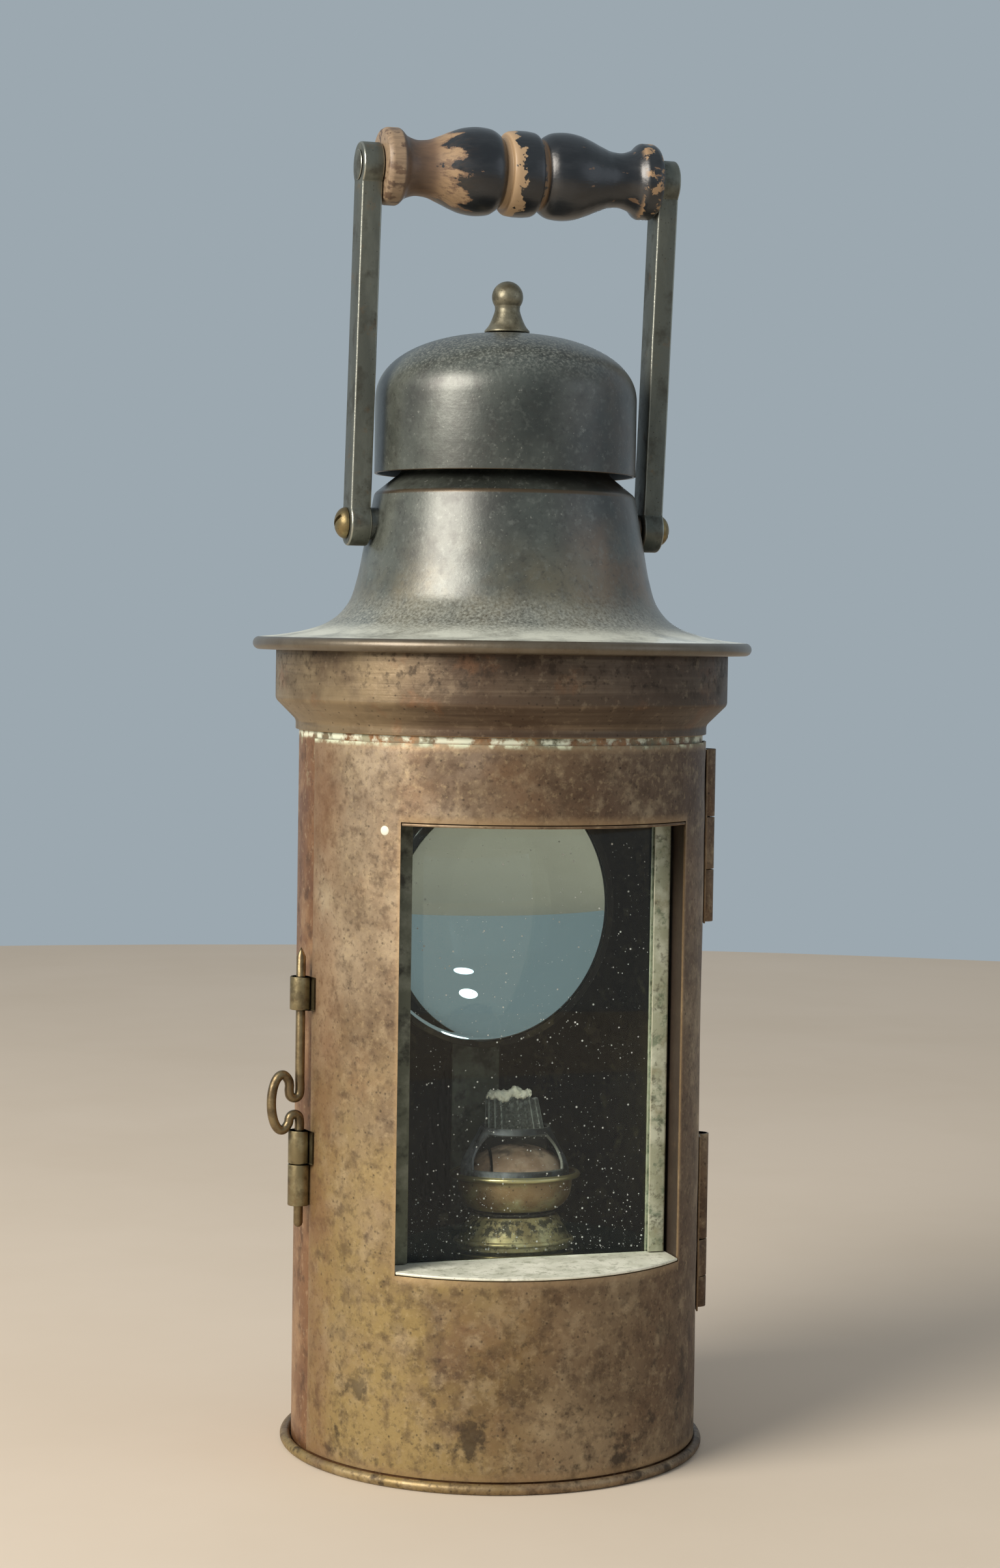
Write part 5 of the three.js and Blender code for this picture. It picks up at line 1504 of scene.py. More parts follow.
@dataclass
class Latch:
    """The sleeves, the keeper and the bent wire pin, drawn in front and turned to their bearing."""

    bearing: float = -81.0
    axis_radius: float = 67.2
    wire: float = 1.45
    sleeve: float = 2.55
    wall: float = 0.8
    tail_angle: float = 4.6
    keeper: Pair = (79.5, 92.2)
    lower: Pair = (92.5, 102.7)
    upper: Pair = (140.0, 150.2)
    pin_foot: float = 72.6
    pin_top: float = 159.2
    point: float = 3.0
    loop_centre: float = 111.5
    loop_half: float = 8.5
    loop_middle: float = 5.85
    loop_throw: float = 3.45
    loop_bend: float = 1.7
    upper_bend: float = 114.4
    lower_bend: float = 105.9
    point_start: float = 1.2
    point_radius: float = 0.62

    def curl(self, inner: float, side: int, span: Pair) -> Surface:
        """A strip that lies on the sheet and curls round the wire.

        Args:
            inner: the radius of the strip's face against the sheet.
            side: 1 for a tail towards the door, -1 for one towards the shell.
            span: the sleeve's two heights.

        Returns:
            The closed surface, at its bearing.
        """
        reach = inner * radians(self.tail_angle)
        along = np.linspace(reach, 0.6, 5)
        tail = np.column_stack([along, -np.sqrt(inner**2 - along**2)])
        loop = arc(0, 0, self.sleeve, -100, -395, 28) * [1, -1] - [0, self.axis_radius]
        line = np.vstack([tail, loop[loop[:, 1] < -inner + 0.05]])
        outline = sheet_outline(line, -self.wall, 0.2)
        outline[:, 1] = np.minimum(outline[:, 1], -inner + 0.02)
        return prism(outline * [side, 1], *span, 0.2).moved(turn_z(self.bearing))

    def pin(self) -> Surface:
        """The bent wire: a rounded foot, a stem, tight bends into an oval pull loop, a stem and a point.

        Returns:
            The closed surface, at its bearing.
        """
        loop = arc(self.loop_middle, self.loop_centre, self.loop_throw, -132, 132, 40, self.loop_half)
        low = arc(self.loop_bend, self.lower_bend, self.loop_bend, 150, 15, 10)
        high = arc(self.loop_bend, self.upper_bend, self.loop_bend, 345, 210, 10)
        stem = self.wire
        turns = np.array([0, 0.5, 1.0, 1.57])
        foot = np.column_stack([0 * turns, self.pin_foot + stem * (1 - np.cos(turns))])
        middle = np.vstack([[[0, self.lower_bend - 4]], [[0, self.lower_bend]], low, loop, high])
        middle = np.vstack([middle, [[0, self.upper_bend]], [[0, self.upper_bend + 4]]])
        tip = [[0, self.pin_top - back] for back in (self.point, self.point_start, 0)]
        route = np.vstack([foot, smooth_line(middle, 3), tip])
        radius = np.full(len(route), stem)
        radius[:4] = stem * np.sin(turns)
        radius[-3:] = [stem, self.point_radius, 0]
        path = np.column_stack([np.zeros(len(route)), -self.axis_radius - route[:, 0], route[:, 1]])
        return sweep(path, radius, (1, 0, 0), 20).moved(turn_z(self.bearing))

    def build(self) -> None:
        """Makes the latch's pieces."""
        face = PLAN.door_radius + PLAN.gap
        for name, span in (("upper", self.upper), ("lower", self.lower)):
            sleeve = self.curl(face, 1, span)
            dress(f"{name}_sleeve", sleeve, LATCH_BRASS, f"{name}_latch_sleeve", body=Body.DOOR)
        keeper = self.curl(PLAN.body_radius + PLAN.gap, -1, self.keeper)
        dress("keeper", keeper, LATCH_BRASS, "latch_keeper")
        dress("pin", self.pin(), LATCH_WIRE, "latch_pin", body=Body.LATCH, sharp=60)


@dataclass
class Hinges:
    """Two hinges, each with a case leaf, a door leaf and a pin."""

    bearing: float = 80.0
    axis_radius: float = 66.1
    knuckle: float = 2.3
    wall: float = 0.66
    pin_radius: float = 0.9
    thickness: float = 0.6
    near: float = 2.9
    far: float = 7.9
    upper: tuple[float, ...] = (165.5, 182.0, 199.05, 220.5)
    lower: tuple[float, ...] = (41.6, 51.31, 63.59, 97.4)

    def leaf(self, inner: float, side: int, foot: float, top: float, spans: list) -> Surface:
        """A leaf: a curved plate, and a curl round the pin in each of its spans.

        Args:
            inner: the radius of the plate's face against the sheet.
            side: 1 for the case's side, -1 for the door's.
            foot, top: the plate's two heights.
            spans: the heights of its knuckles.

        Returns:
            The closed surfaces, at their bearing.
        """
        outer = inner + self.thickness
        bearing = np.linspace(self.near, self.far, 7)
        face, back = polar(outer, bearing)[:, :2], polar(inner, bearing[::-1])[:, :2]
        whole = prism(soften(np.vstack([face, back]), 0.15) * [side, 1], foot, top, 0.15)
        for low, high in spans:
            loop = arc(0, 0, self.knuckle, 35, 325, 28) * [1, -1] - [0, self.axis_radius]
            hold = face[:1] + [self.thickness, 0.02]
            line = soften(np.vstack([hold, loop]), 0.8, closed=False)
            outline = sheet_outline(line, self.wall, 0.15)
            whole = whole + prism(outline * [side, 1], low, high, 0.15)
        return whole.moved(turn_z(self.bearing))

    def build(self) -> None:
        """Makes both hinges."""
        for name, (foot, low, high, top) in (("upper", self.upper), ("lower", self.lower)):
            case = self.leaf(PLAN.body_radius + PLAN.gap, 1, foot, top, [(foot, low), (high, top)])
            node = f"{name}_hinge"
            dress(f"{node}_on_case", case, BROWN_COPPER, f"{node}_case_leaf")
            spans = [(low + PLAN.gap, high - PLAN.gap)]
            door = self.leaf(PLAN.door_radius + PLAN.gap, -1, foot, top, spans)
            dress(f"{node}_on_door", door, BROWN_COPPER, f"{node}_door_leaf", body=Body.DOOR)
            rod = turned_pin(self.pin_radius, foot, top, 0.3, 24)
            rod = rod.moved(None, (0, -self.axis_radius, 0)).moved(turn_z(self.bearing))
            dress(f"{node}_rod", rod, FORGED_IRON, f"{node}_pin")


@dataclass
class Bail:
    """The swinging bail: two bars, a rod and the turned grip, leaning forward, with its pivots."""

    lean: float = 5.1
    length: float = 108.9
    inner: float = 44.65
    outer: float = 51.15
    width: float = 10.0
    eye: float = 7.0
    shank: float = 2.4
    rod: float = 3.0
    rod_head: float = 4.6
    rod_end: float = 52.05
    grip_radius: float = 13.5
    grip_half: float = 44.35
    boss: float = 5.0
    head_radius: float = 4.85
    head_height: float = 3.4
    slot_width: float = 1.2
    slot_depth: float = 1.3
    slot_tilt: float = 35.0
    screw_end: float = 33.0
    boss_span: Pair = (41.45, 44.35)
    ring_line: Line = ((0.978, 0.0), (0.978, 0.03), (0.95, 0.09), (0.80, 0.115), (0.78, 0.148))
    belly_line: Line = (
        (0.89, 0.18), (0.975, 0.235), (1.0, 0.32), (0.965, 0.41), (0.88, 0.49), (0.74, 0.59), (0.64, 0.68),
        (0.625, 0.745), (0.68, 0.81), (0.84, 0.872),
    )
    end_line: Line = ((0.872, 0.888), (0.872, 0.968), (0.81, 1.0))

    def swung(self, surface: Surface) -> Surface:
        """Moves a piece of the bail from its own axes to the pivots."""
        turn = np.array(Matrix.Rotation(radians(self.lean), 3, "X"))
        return surface.moved(turn, (0, 0, PLAN.pivot_height))

    def bar(self, side: int) -> Surface:
        """A flat bar with a round eye at each end and two holes.

        Args:
            side: 1 for the right bar, -1 for the left.

        Returns:
            The solid.
        """
        spread = degrees(asin(self.width / 2 / self.eye))
        outline = np.vstack([
            arc(0, 0, self.eye, 90 + spread, 450 - spread, 40),
            arc(0, self.length, self.eye, spread - 90, 270 - spread, 40),
        ])
        outline = soften(outline, 1.5)
        places = ((0, self.shank), (self.length, self.rod))
        holes = tuple(arc(0, height, radius + PLAN.gap, 0, 350, 35) for height, radius in places)
        start = self.inner if side > 0 else -self.outer
        bar = prism(outline, start, start + self.outer - self.inner, 0.6, holes)
        return self.swung(bar.moved(SIDEWAYS))

    def grip(self) -> Surface:
        """The turned grip: a middle ring, two bellied halves, coves and end rings.

        Returns:
            The solid.
        """
        belly = smooth_line([self.ring_line[4], *self.belly_line], 6)
        half = np.vstack([smooth_line(self.ring_line[1:4], 4), belly, self.end_line])
        half = half * [self.grip_radius, self.grip_half]
        bore = self.rod + PLAN.gap
        whole = np.vstack([half[::-1] * [1, -1], half, [[bore, self.grip_half], [bore, -self.grip_half]]])
        surface = revolve(soften(whole, 0.5), 96)
        return self.swung(surface.moved(ALONG_X, (0, 0, self.length)))

    def rod_surface(self) -> Surface:
        """The rod through the grip, with a peened head at each end.

        Returns:
            The solid.
        """
        face = self.outer + PLAN.gap
        crown = arc(0, face, self.rod_head, 8, 90, 8, self.rod_end - face)[:-1]
        half = np.vstack([[[self.rod, face]], [[self.rod_head, face]], crown, [[0, self.rod_end]]])
        line = np.vstack([half[::-1] * [1, -1], half])
        line[0, 0] = line[-1, 0] = 0
        return self.swung(revolve(line, 48).moved(ALONG_X, (0, 0, self.length)))

    def screw(self, turn: float) -> Surface:
        """A slotted round-head screw: over the disc the head's height is h sqrt(1 - (r / R)^2), cut down to the
        slot's floor between two doubled columns, and the shank is a turned rod.

        Args:
            turn: 0 for the right side, 180 for the left.

        Returns:
            The closed surfaces.
        """
        half, radius, face = self.slot_width / 2, self.head_radius, self.outer + PLAN.gap
        count = 12
        wing = half + (radius - half) * np.sin(np.linspace(0, np.pi / 2, count))
        wing[-1] -= 0.01
        column = np.concatenate([-wing[::-1], [-half, 0, half], wing])
        inside = np.concatenate([np.zeros(count, bool), [True] * 3, np.zeros(count, bool)])
        across = np.sin(np.linspace(-np.pi / 2, np.pi / 2, 25))
        x, v = np.meshgrid(column, across, indexing="ij")
        y = v * np.sqrt(radius**2 - x**2)
        crown = self.head_height * np.sqrt(np.clip(1 - (x**2 + y**2) / radius**2, 0, 1))
        crown = np.minimum(crown, self.head_height - self.slot_depth * inside[:, None])
        head = grid(np.stack([x, y, crown], -1)) + grid(np.stack([x, y, 0 * x], -1)).flipped()
        head = head.moved(turn_z(self.slot_tilt), (0, 0, face))
        shank = turned_pin(self.shank, self.screw_end, face + 0.01, 0, 32)
        return (head + shank).moved(ALONG_X).moved(turn_z(turn), (0, 0, PLAN.pivot_height))

    def boss_surface(self, turn: float) -> Surface:
        """The boss between neck and bar: a turned ring with soft edges."""
        boss = plain_ring(self.shank + PLAN.gap, self.boss, *self.boss_span, 0.3, 48)
        return boss.moved(ALONG_X).moved(turn_z(turn), (0, 0, PLAN.pivot_height))

    def build(self) -> None:
        """Makes the bail's pieces and its pivots."""
        for name, side, turn in (("left", -1, 180), ("right", 1, 0)):
            dress(f"{name}_bar", self.bar(side), FORGED_IRON, f"{name}_bail_bar", body=Body.BAIL, edge=0.6)
            dress(f"{name}_screw", self.screw(turn), AGED_BRASS, f"{name}_pivot_screw")
            dress(f"{name}_boss", self.boss_surface(turn), DARK_COPPER, f"{name}_bail_boss")
            refinish(f"{name}_pivot_nut", AGED_BRASS)
        dress("rod", self.rod_surface(), FORGED_IRON, "grip_rod", body=Body.BAIL, edge=0.5)
        dress("grip_turning", self.grip(), WORN_WOOD, "wood_grip", body=Body.GRIP, sharp=45)


@dataclass
class Burner:
    """The oil fount with the burner, wick and winder on it, drawn about the burner's own axis."""

    x: float = 3.0
    y: float = -10.992
    turn: float = -12.0
    fount_foot: float = 2.1
    fount_line: Line = ((0, 0), (46, 0), (46, 43.9), (19.5, 55.4), (19.5, 57.7), (16.2, 57.7))
    filler_place: Triple = (0, 32, 0)
    filler_tube: tuple[float, ...] = (5.0, 6.2, 49.0, 57.3)
    filler_cap: Triple = (7.2, 57.6, 60.2)
    collar_line: Line = ((14.9, 57.9), (15.9, 57.9), (15.9, 60.1), (18.9, 60.1), (18.9, 64.6), (14.9, 64.6))
    plug_radius: float = 14.6
    plug_depth: float = 6.0
    rim_height: float = 67.9
    rim_wire: float = 0.8
    roll_wire: float = 0.85
    base_foot: float = 64.9
    base_height: float = 10.8
    base_radius: float = 18.0
    hole: float = 11.4
    dish_radius: float = 20.4
    dish_floor: float = 77.1
    dish_height: float = 11.2
    cone_radius: float = 17.1
    cone_foot: float = 87.3
    cone_height: float = 15.6
    lobe_radius: float = 15.6
    lobe_base: float = 81.9
    lobe_shoulder: float = 86.9
    lobe_rise: float = 10.0
    slit: float = -8.1
    slit_width: float = 0.9
    tube: Pair = (21.0, 4.2)
    tube_foot: float = 66.0
    tube_top: float = 99.3
    wick: Pair = (19.2, 2.4)
    wick_foot: float = 12.0
    wick_top: float = 113.5
    rib_pitch: float = 2.1
    ash_half: float = 8.6
    ash_shift: float = -0.9
    ash_depth: float = 1.9
    ash_rise: float = 1.7
    spindle_y: float = 4.7
    spindle_z: float = 71.3
    spindle: Triple = (1.0, -22.0, 15.2)
    wheels: tuple[Pair, Pair] = ((-5.6, -4.4), (4.4, 5.6))
    wheel_radius: float = 3.2
    tooth_root: float = 0.72
    slot_end: float = 5.9
    slot_start: float = 4.1
    slot_half: float = 3.5
    knob: Pair = (-23.6, -20.4)
    knob_radius: float = 4.4
    knurls: int = 24
    flange_radius: float = 13.0
    flange_hole: Pair = (20.6, 3.8)
    flange_span: Pair = (76.0, 76.8)
    base_line: Line = ((0.989, 0.065), (0.994, 0.28), (0.93, 0.52), (0.844, 0.82), (0.756, 1))
    dish_line: Line = (
        (0.66, 0.04), (0.755, 0.16), (0.843, 0.37), (0.882, 0.62), (0.897, 0.84), (0.94, 0.94), (1, 1),
    )
    cone_line: Line = ((1, 0), (0.982, 0.24), (0.842, 0.56), (0.678, 0.885), (0.632, 1))
    cone_arch: Line = ((0.83, 0.2), (0.83, 0.34), (0.73, 0.62), (0.54, 0.872))

    def placed(self, surface: Surface) -> Surface:
        """Moves a piece from the burner's own axis to its place in the lantern."""
        return surface.moved(turn_z(self.turn), (self.x, self.y, 0))

    def fount(self) -> Surface:
        """The fount: a drum with a coned top and a neck, and the filler's short tube.

        Returns:
            The solid.
        """
        line = soften(np.array(self.fount_line) + [0, self.fount_foot], 1.5, closed=False)
        body = revolve(soften(np.vstack([line, beside(line, PLAN.sheet)[::-1]]), 0.2, closed=False), 96)
        return self.placed(body + plain_ring(*self.filler_tube, 0.25, 40).moved(None, self.filler_place))

    def cap(self) -> Surface:
        """The filler's cap."""
        return self.placed(turned_pin(*self.filler_cap, 0.5, 48).moved(None, self.filler_place))

    def collar(self) -> Surface:
        """The collar: a ring that sits on the neck and a plug that goes into it."""
        return self.placed(revolve(soften(self.collar_line, 0.5)))

    def base(self) -> Surface:
        """The air box: a plug, a flaring skirt with a beaded rim and a flat top.

        Returns:
            The solid.
        """
        wall = scaled(self.base_line, self.base_radius, self.base_height, self.base_foot)
        wall = np.vstack([wall[:2], smooth_line(wall[1:], 5)[1:]])
        foot = [[self.plug_radius, self.base_foot - self.plug_depth], [self.plug_radius, self.base_foot]]
        line = np.vstack([foot, wall, [[self.hole, self.base_foot + self.base_height]]])
        rim = hoop(self.base_radius + 0.2, self.rim_height, self.rim_wire)
        return self.placed(revolve(sheet_outline(line, PLAN.sheet, 0.3)) + rim)

    def dish(self) -> Surface:
        """The dish: an open bowl with a flared rolled rim.

        Returns:
            The solid.
        """
        wall = smooth_line(scaled(self.dish_line, self.dish_radius, self.dish_height, self.dish_floor), 6)
        line = np.vstack([[[self.hole, self.dish_floor]], wall])
        rim = hoop(self.dish_radius - 0.6, self.dish_floor + self.dish_height - 0.25, self.roll_wire)
        return self.placed(revolve(sheet_outline(line, PLAN.sheet, 0.3)) + rim)

    def cone(self) -> Surface:
        """The flame cone: a coned hood whose columns bend so that they follow both sides of its arch, where
        the half angle is asin(half width / radius) at each height.

        Returns:
            The open sheet.
        """
        arch = np.array(self.cone_arch)
        line = smooth_line(np.array(self.cone_line)[:, ::-1], 6)
        rows = np.unique(np.concatenate([line[:, 0], arch[:, 1]]))
        radius = np.interp(rows, line[:, 0], line[:, 1]) * self.cone_radius
        level = smooth_line(arch[:, ::-1], 6)
        half = np.interp(rows, level[:, 0], level[:, 1]) * self.cone_radius
        gap = np.degrees(np.arcsin(np.clip(half / radius, 0, 0.97)))[:, None]
        shut, ajar = 72, 24
        wall, open_part = (np.linspace(0, 1, count + 1)[None, :-1] for count in (shut, ajar))
        bearing = np.hstack([gap + (360 - 2 * gap) * wall, 360 - gap + 2 * gap * open_part])
        middle = (rows[1:] + rows[:-1])[:, None] / 2
        opening = (np.arange(shut + ajar)[None] >= shut) & (middle > arch[0, 1]) & (middle < arch[-1, 1])
        points = polar(radius[:, None], bearing, (self.cone_foot + self.cone_height * rows)[:, None])
        return self.placed(grid(points, round_columns=True, keep=~opening))

    def lobe(self) -> Surface:
        """The lobe: a dome z = rise sqrt(1 - (r / R)^2) over columns of x whose rows keep to the wick's slot,
        with a slit between two columns, and a skirt below the rim.

        Returns:
            The open sheet.
        """
        radius, half = self.lobe_radius, self.slit_width / 2
        slot_x, slot_y = self.tube[0] / 2 + PLAN.gap, self.tube[1] / 2 + PLAN.gap
        left, right = self.slit - half, self.slit + half
        ends = radius * np.sin(np.radians(np.linspace(89.5, 46, 10)))
        inner = [-slot_x, left, right, *np.linspace(right, slot_x, 14)[1:]]
        column = np.concatenate([-ends, inner, ends[::-1]])
        reach = np.sqrt(radius**2 - column**2)[:, None]
        step = np.minimum(slot_y, 0.5 * reach)
        last = 8
        share = np.sin(np.linspace(0, np.pi / 2, last + 1))[None]
        outer = step + (reach - step) * share
        y = np.hstack([-outer[:, ::-1], outer])
        x = np.broadcast_to(column[:, None], y.shape)
        crown = self.lobe_shoulder + self.lobe_rise * np.sqrt(np.clip(1 - (x**2 + y**2) / radius**2, 0, 1))
        mid = (column[1:] + column[:-1])[:, None] / 2
        row = np.arange(y.shape[1] - 1)[None]
        slot = (abs(mid) < slot_x) & (row == last)
        slit = (abs(mid - self.slit) < half) & (row < last)
        top = grid(np.stack([x, y, crown], -1), keep=~(slot | slit))
        rim = np.vstack([np.column_stack([column, y[:, 0]]), np.column_stack([column, y[:, -1]])[::-1]])
        skirt = np.linspace(self.lobe_shoulder, self.lobe_base, 5)[:, None]
        skirt = np.stack(np.broadcast_arrays(rim[:, 0], rim[:, 1], skirt), -1)
        across = (rim + np.roll(rim, -1, 0)) / 2
        shut = ~((abs(across[:, 0] - self.slit) < half) & (across[:, 1] < 0))[None]
        shut = shut | (np.arange(4) >= 2)[:, None]
        return self.placed(top + grid(skirt, round_columns=True, keep=shut))

    def leaning(self, surface: Surface) -> Surface:
        """Leans what stands above the wick tube to the left, narrows it upwards and bends it a little back.

        Args:
            surface: the upright surface.

        Returns:
            The closed surface in its place.
        """
        points = surface.points
        above = np.maximum(points[:, 2] - self.tube_top, 0)
        points = points - np.column_stack([above * (0.1 + 0.012 * points[:, 0]), -0.03 * above, 0 * above])
        return self.placed(Surface(points, surface.faces).outward())

    def wick_surface(self) -> Surface:
        """The wick: a flat oval section whose faces are ribbed by 0.76 + 0.24 cos(2 pi x / pitch), carried up
        to a ragged top.

        Returns:
            The solid.
        """
        count = 240
        angle = 2 * np.pi * np.arange(count) / count
        x = self.wick[0] / 2 * np.sign(np.cos(angle)) * abs(np.cos(angle)) ** 0.55
        y = self.wick[1] / 2 * np.sign(np.sin(angle)) * abs(np.sin(angle)) ** 0.35
        y = y * (0.76 + 0.24 * np.cos(2 * np.pi * x / self.rib_pitch))
        rise = np.concatenate([np.linspace(0, 0.86, 12), np.linspace(0.875, 1, 18)])[:, None]
        top = self.wick_top - 2.2 + 0.5 * np.sin(x * 1.3) + 0.35 * np.sin(x * 2.9 + 1)
        z = self.wick_foot + (top - self.wick_foot) * rise
        swell = 1 + 0.03 * np.sin(z * 3.1) * (z > self.tube_top)
        points = np.stack([x * (1 + 0 * z), y * swell, z], -1)
        side = grid(points, round_columns=True)
        last = len(side.points) - count
        caps = [list(range(count))[::-1], list(range(last, last + count))]
        return self.leaning(Surface(side.points, side.faces + caps))

    def ash(self) -> Surface:
        """The ash along the wick's top: a ball of angles (u, v) stretched along x, whose radius is lumpy by
        1 + a sum of sines.

        Returns:
            The solid.
        """
        u, v = np.meshgrid(np.linspace(0, np.pi, 40), 2 * np.pi * np.arange(48) / 48, indexing="ij")
        lump = 1 + 0.2 * np.sin(9 * u + 2 * v) + 0.14 * np.sin(17 * u - 3 * v + 1)
        lump = lump + 0.1 * np.sin(29 * u + 5 * v)
        x = -self.ash_half * np.cos(u) + self.ash_shift
        y = self.ash_depth * np.sin(u) ** 0.5 * np.cos(v) * lump
        z = self.ash_rise * np.sin(u) ** 0.5 * np.sin(v) * lump
        z = z + self.wick_top - 1.3 + 0.45 * np.sin(x * 0.75 + 0.6) + 0.08 * x
        return self.leaning(grid(np.stack([x, y, z], -1), round_columns=True))

    def guide(self) -> Surface:
        """The wick's guide: a flat tube whose back wall has two slots for the winder's wheels.

        Returns:
            The open sheet.
        """
        steps = 6
        back = 3 * (steps + 1)
        outline = soften(oblong(*self.tube), 2.0, steps=steps)
        sides = [self.slot_end, self.slot_start, -self.slot_start, -self.slot_end]
        slots = np.column_stack([sides, [self.tube[1] / 2] * 4])
        outline = np.vstack([outline[:back], slots, outline[back:]])
        middle = [self.spindle_z - self.slot_half, self.spindle_z + self.slot_half]
        levels = [self.tube_foot, *middle, self.tube_top]
        keep = np.ones((3, len(outline)), bool)
        keep[1, [back, back + 2]] = False
        points = np.broadcast_arrays(outline[:, 0], outline[:, 1], np.array(levels)[:, None])
        return self.placed(grid(np.stack(points, -1), round_columns=True, keep=keep))

    def flange(self) -> Surface:
        """The flange that carries the guide on the air box: a disc with the guide's hole."""
        hole = soften(oblong(*self.flange_hole), 1.6, steps=6)
        return self.placed(prism(arc(0, 0, self.flange_radius, 0, 356, 89), *self.flange_span, 0.2, (hole,)))

    def winder(self) -> Surface:
        """The winder: a spindle, two wheels whose sixteen corners lie on two circles in turn, and a knob whose
        radius is knurled by cos(knurls a).

        Returns:
            The closed surfaces.
        """
        corner = np.arange(16)
        angle = 2 * np.pi * corner / 16
        tooth = np.where(corner % 2, self.tooth_root, 1.0) * self.wheel_radius
        wheel = np.column_stack([tooth * np.cos(angle), tooth * np.sin(angle)])
        around = np.radians(np.linspace(0, 357.5, 144))
        knob = arc(0, 0, self.knob_radius, 0, 357.5, 143)
        knob = knob * (1 - 0.05 * (1 - np.cos(around * self.knurls)))[:, None]
        parts = [turned_pin(*self.spindle, 0.2, 20), *(prism(wheel, *span, 0.1) for span in self.wheels)]
        whole = joined([*parts, prism(knob, *self.knob, 0.4)])
        return self.placed(whole.moved(ALONG_X, (0, self.spindle_y, self.spindle_z)))

    def build(self) -> None:
        """Makes the fount's and the burner's pieces."""
        dress("fount", self.fount(), AGED_BRASS, "oil_fount")
        dress("cap", self.cap(), AGED_BRASS, "filler_cap")
        refinish("fount_seat", FORGED_IRON)
        dress("collar", self.collar(), AGED_BRASS, "fount_collar", edge=0.4)
        dress("air_box", self.base(), BURNT_BRASS, "burner_base")
        dress("dish", self.dish(), BURNT_BRASS, "burner_dish", edge=0.85)
        dress("flame_hood", self.cone(), SOOTY_IRON, "flame_cone", wall=PLAN.sheet, bevel=0.2)
        dress("air_lobe", self.lobe(), LOBE_COPPER, "burner_lobe", wall=PLAN.sheet, bevel=0.2)
        dress("wick_guide", self.guide(), SOOTED_BRASS, "wick_tube", wall=0.6, bevel=0.12)
        dress("wick_flange", self.flange(), SOOTED_BRASS)
        dress("winder", self.winder(), SOOTED_BRASS, "wick_winder", body=Body.WINDER)
        dress("cotton_wick", self.wick_surface(), WOVEN_COTTON, "wick", body=Body.WICK, edge=0.5, sharp=80)
        dress("wick_ash", self.ash(), ASH, body=Body.WICK, sharp=80)


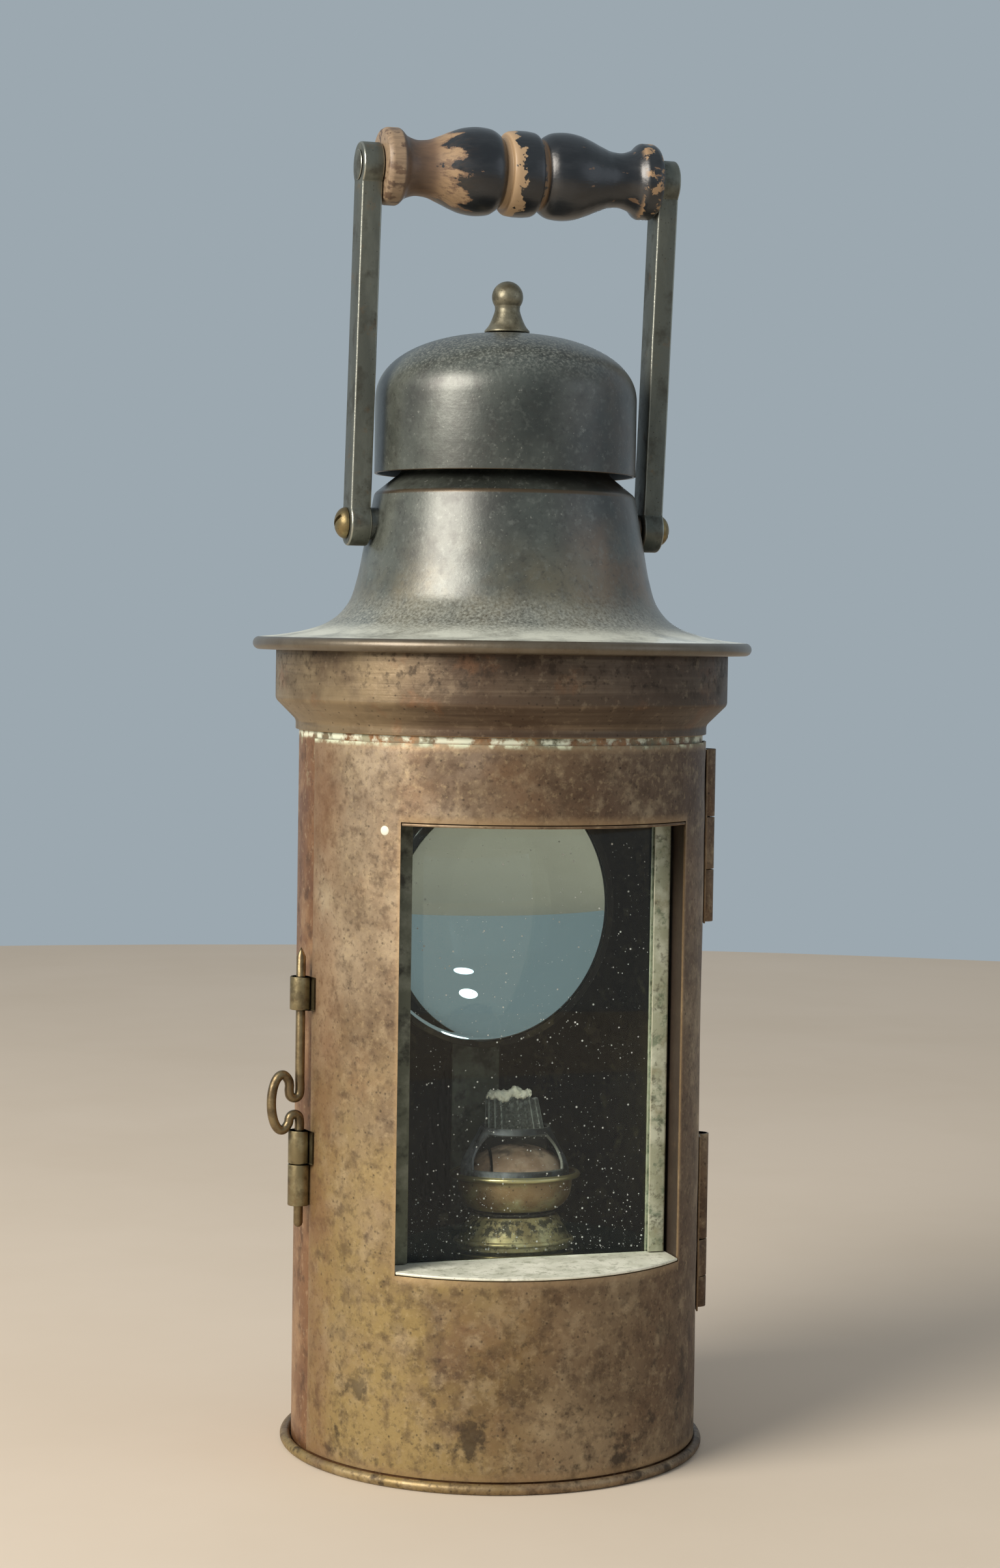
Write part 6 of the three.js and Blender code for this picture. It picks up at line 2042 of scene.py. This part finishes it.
@dataclass
class Studio:
    """A plain pale floor, an even backdrop from the world, two soft lamps, two small windows and the
    camera."""

    floor_radius: float = 1500.0
    backdrop_colour: str = "#9ca8b0"
    world_strength: float = 0.42
    camera_place: Triple = (-286.7, -911.3, 257.2)
    camera_turn: Triple = (17.462, 2.912, 0.881)
    lens: float = 69.59
    sensor: float = 36.0
    aim: Triple = (0, 0, 200)
    # Each lamp's place, size, watts and colour; the windows are far behind, and the lens turns them over
    lamps: dict = field(default_factory=lambda: {
        "key": ((-1500, -650, 1000), (1200, 1200), 50, "#fff6ea"),
        "fill": ((1500, -1100, 700), (1400, 1400), 3, "#eaf2ff"),
        "low_window": ((640, 1515, 362), (150, 50), 0.1, "#d8efff"),
        "high_window": ((619, 1515, 560), (150, 95), 0.18, "#e6f6ff"),
    })

    def floor(self) -> None:
        """A round floor at z = 0 that casts the lantern's shadow."""
        steps = np.linspace(0, self.floor_radius, 12)[:, None]
        angle = 2 * np.pi * np.arange(96)[None] / 96
        disc = np.stack([steps * np.cos(angle), steps * np.sin(angle), 0 * steps * angle], -1)
        disc = grid(disc, round_columns=True)
        floor = new_object("studio_floor", disc, STUDIO_FLOOR)

    def world(self) -> None:
        """Even light, and the backdrop's colour for the camera and for what glass and metal show."""
        world = bpy.data.worlds.new("studio")
        bpy.context.scene.world = world
        world.use_nodes = True
        tree = world.node_tree
        path = add_node(tree, "LightPath").outputs
        seen = path["Is Camera Ray"]
        for name in ("Is Glossy Ray", "Is Transmission Ray"):
            seen = add_node(tree, "Math", {0: seen, 1: path[name]}, operation="MAXIMUM").outputs[0]
        light = add_node(tree, "Background", {0: linear("#ffffff"), 1: self.world_strength})
        drop = add_node(tree, "Background", {0: linear(self.backdrop_colour), 1: 1.0})
        mix = add_node(tree, "MixShader", {0: seen, 1: light.outputs[0], 2: drop.outputs[0]})
        fill(tree.nodes["World Output"], {"Surface": mix.outputs[0]})

    def lamp(self, name: str, place: tuple, size: Pair, power: float, colour: str) -> None:
        """A soft lamp aimed at the lantern's middle, unseen by the camera itself.

        Args:
            name: the lamp's name.
            place: where it hangs, in millimetres.
            size: its width and height in millimetres.
            power: its power in watts.
            colour: its colour.
        """
        light = bpy.data.lights.new(name, "AREA")
        light.shape, light.size, light.size_y = "ELLIPSE", size[0] * MM, size[1] * MM
        light.energy, light.color = power, linear(colour)[:3]
        lamp = bpy.data.objects.new(name, light)
        lamp.visible_camera = False
        lamp.location = Vector(place) * MM
        way = Vector(self.aim) * MM - lamp.location
        lamp.rotation_euler = way.to_track_quat("-Z", "Y").to_euler()
        bpy.context.scene.collection.objects.link(lamp)

    def camera(self) -> None:
        """The camera at the photograph's angle: yaw to the right, pitch down and a little roll."""
        yaw, pitch, roll = (radians(angle) for angle in self.camera_turn)
        ahead = Vector((sin(yaw) * cos(pitch), cos(yaw) * cos(pitch), -sin(pitch)))
        right = Vector((cos(yaw), -sin(yaw), 0))
        up = Vector((sin(yaw) * sin(pitch), cos(yaw) * sin(pitch), cos(pitch)))
        side = right * cos(roll) + up * sin(roll)
        top = up * cos(roll) - right * sin(roll)
        data = bpy.data.cameras.new("camera")
        data.lens, data.sensor_width, data.sensor_fit = self.lens, self.sensor, "AUTO"
        camera = bpy.data.objects.new("camera", data)
        turn = Matrix((side, top, -ahead)).transposed()
        camera.matrix_world = Matrix.Translation(Vector(self.camera_place) * MM) @ turn.to_4x4()
        bpy.context.scene.collection.objects.link(camera)
        bpy.context.scene.camera = camera

    def build(self) -> None:
        """Sets up floor, world, lamps, camera and the view transform."""
        self.floor()
        self.world()
        for name, lamp in self.lamps.items():
            self.lamp(name, *lamp)
        self.camera()
        bpy.context.scene.view_settings.view_transform = "Standard"


def main() -> None:
    """Builds the studio and every sub-assembly in order."""
    for part in (Studio(), Case(), Chimney(), LensUnit(), Door(), Latch(), Hinges(), Bail(), Burner()):
        part.build()
        LOG.info("%s is done", type(part).__name__)


if __name__ == "__main__":
    main()
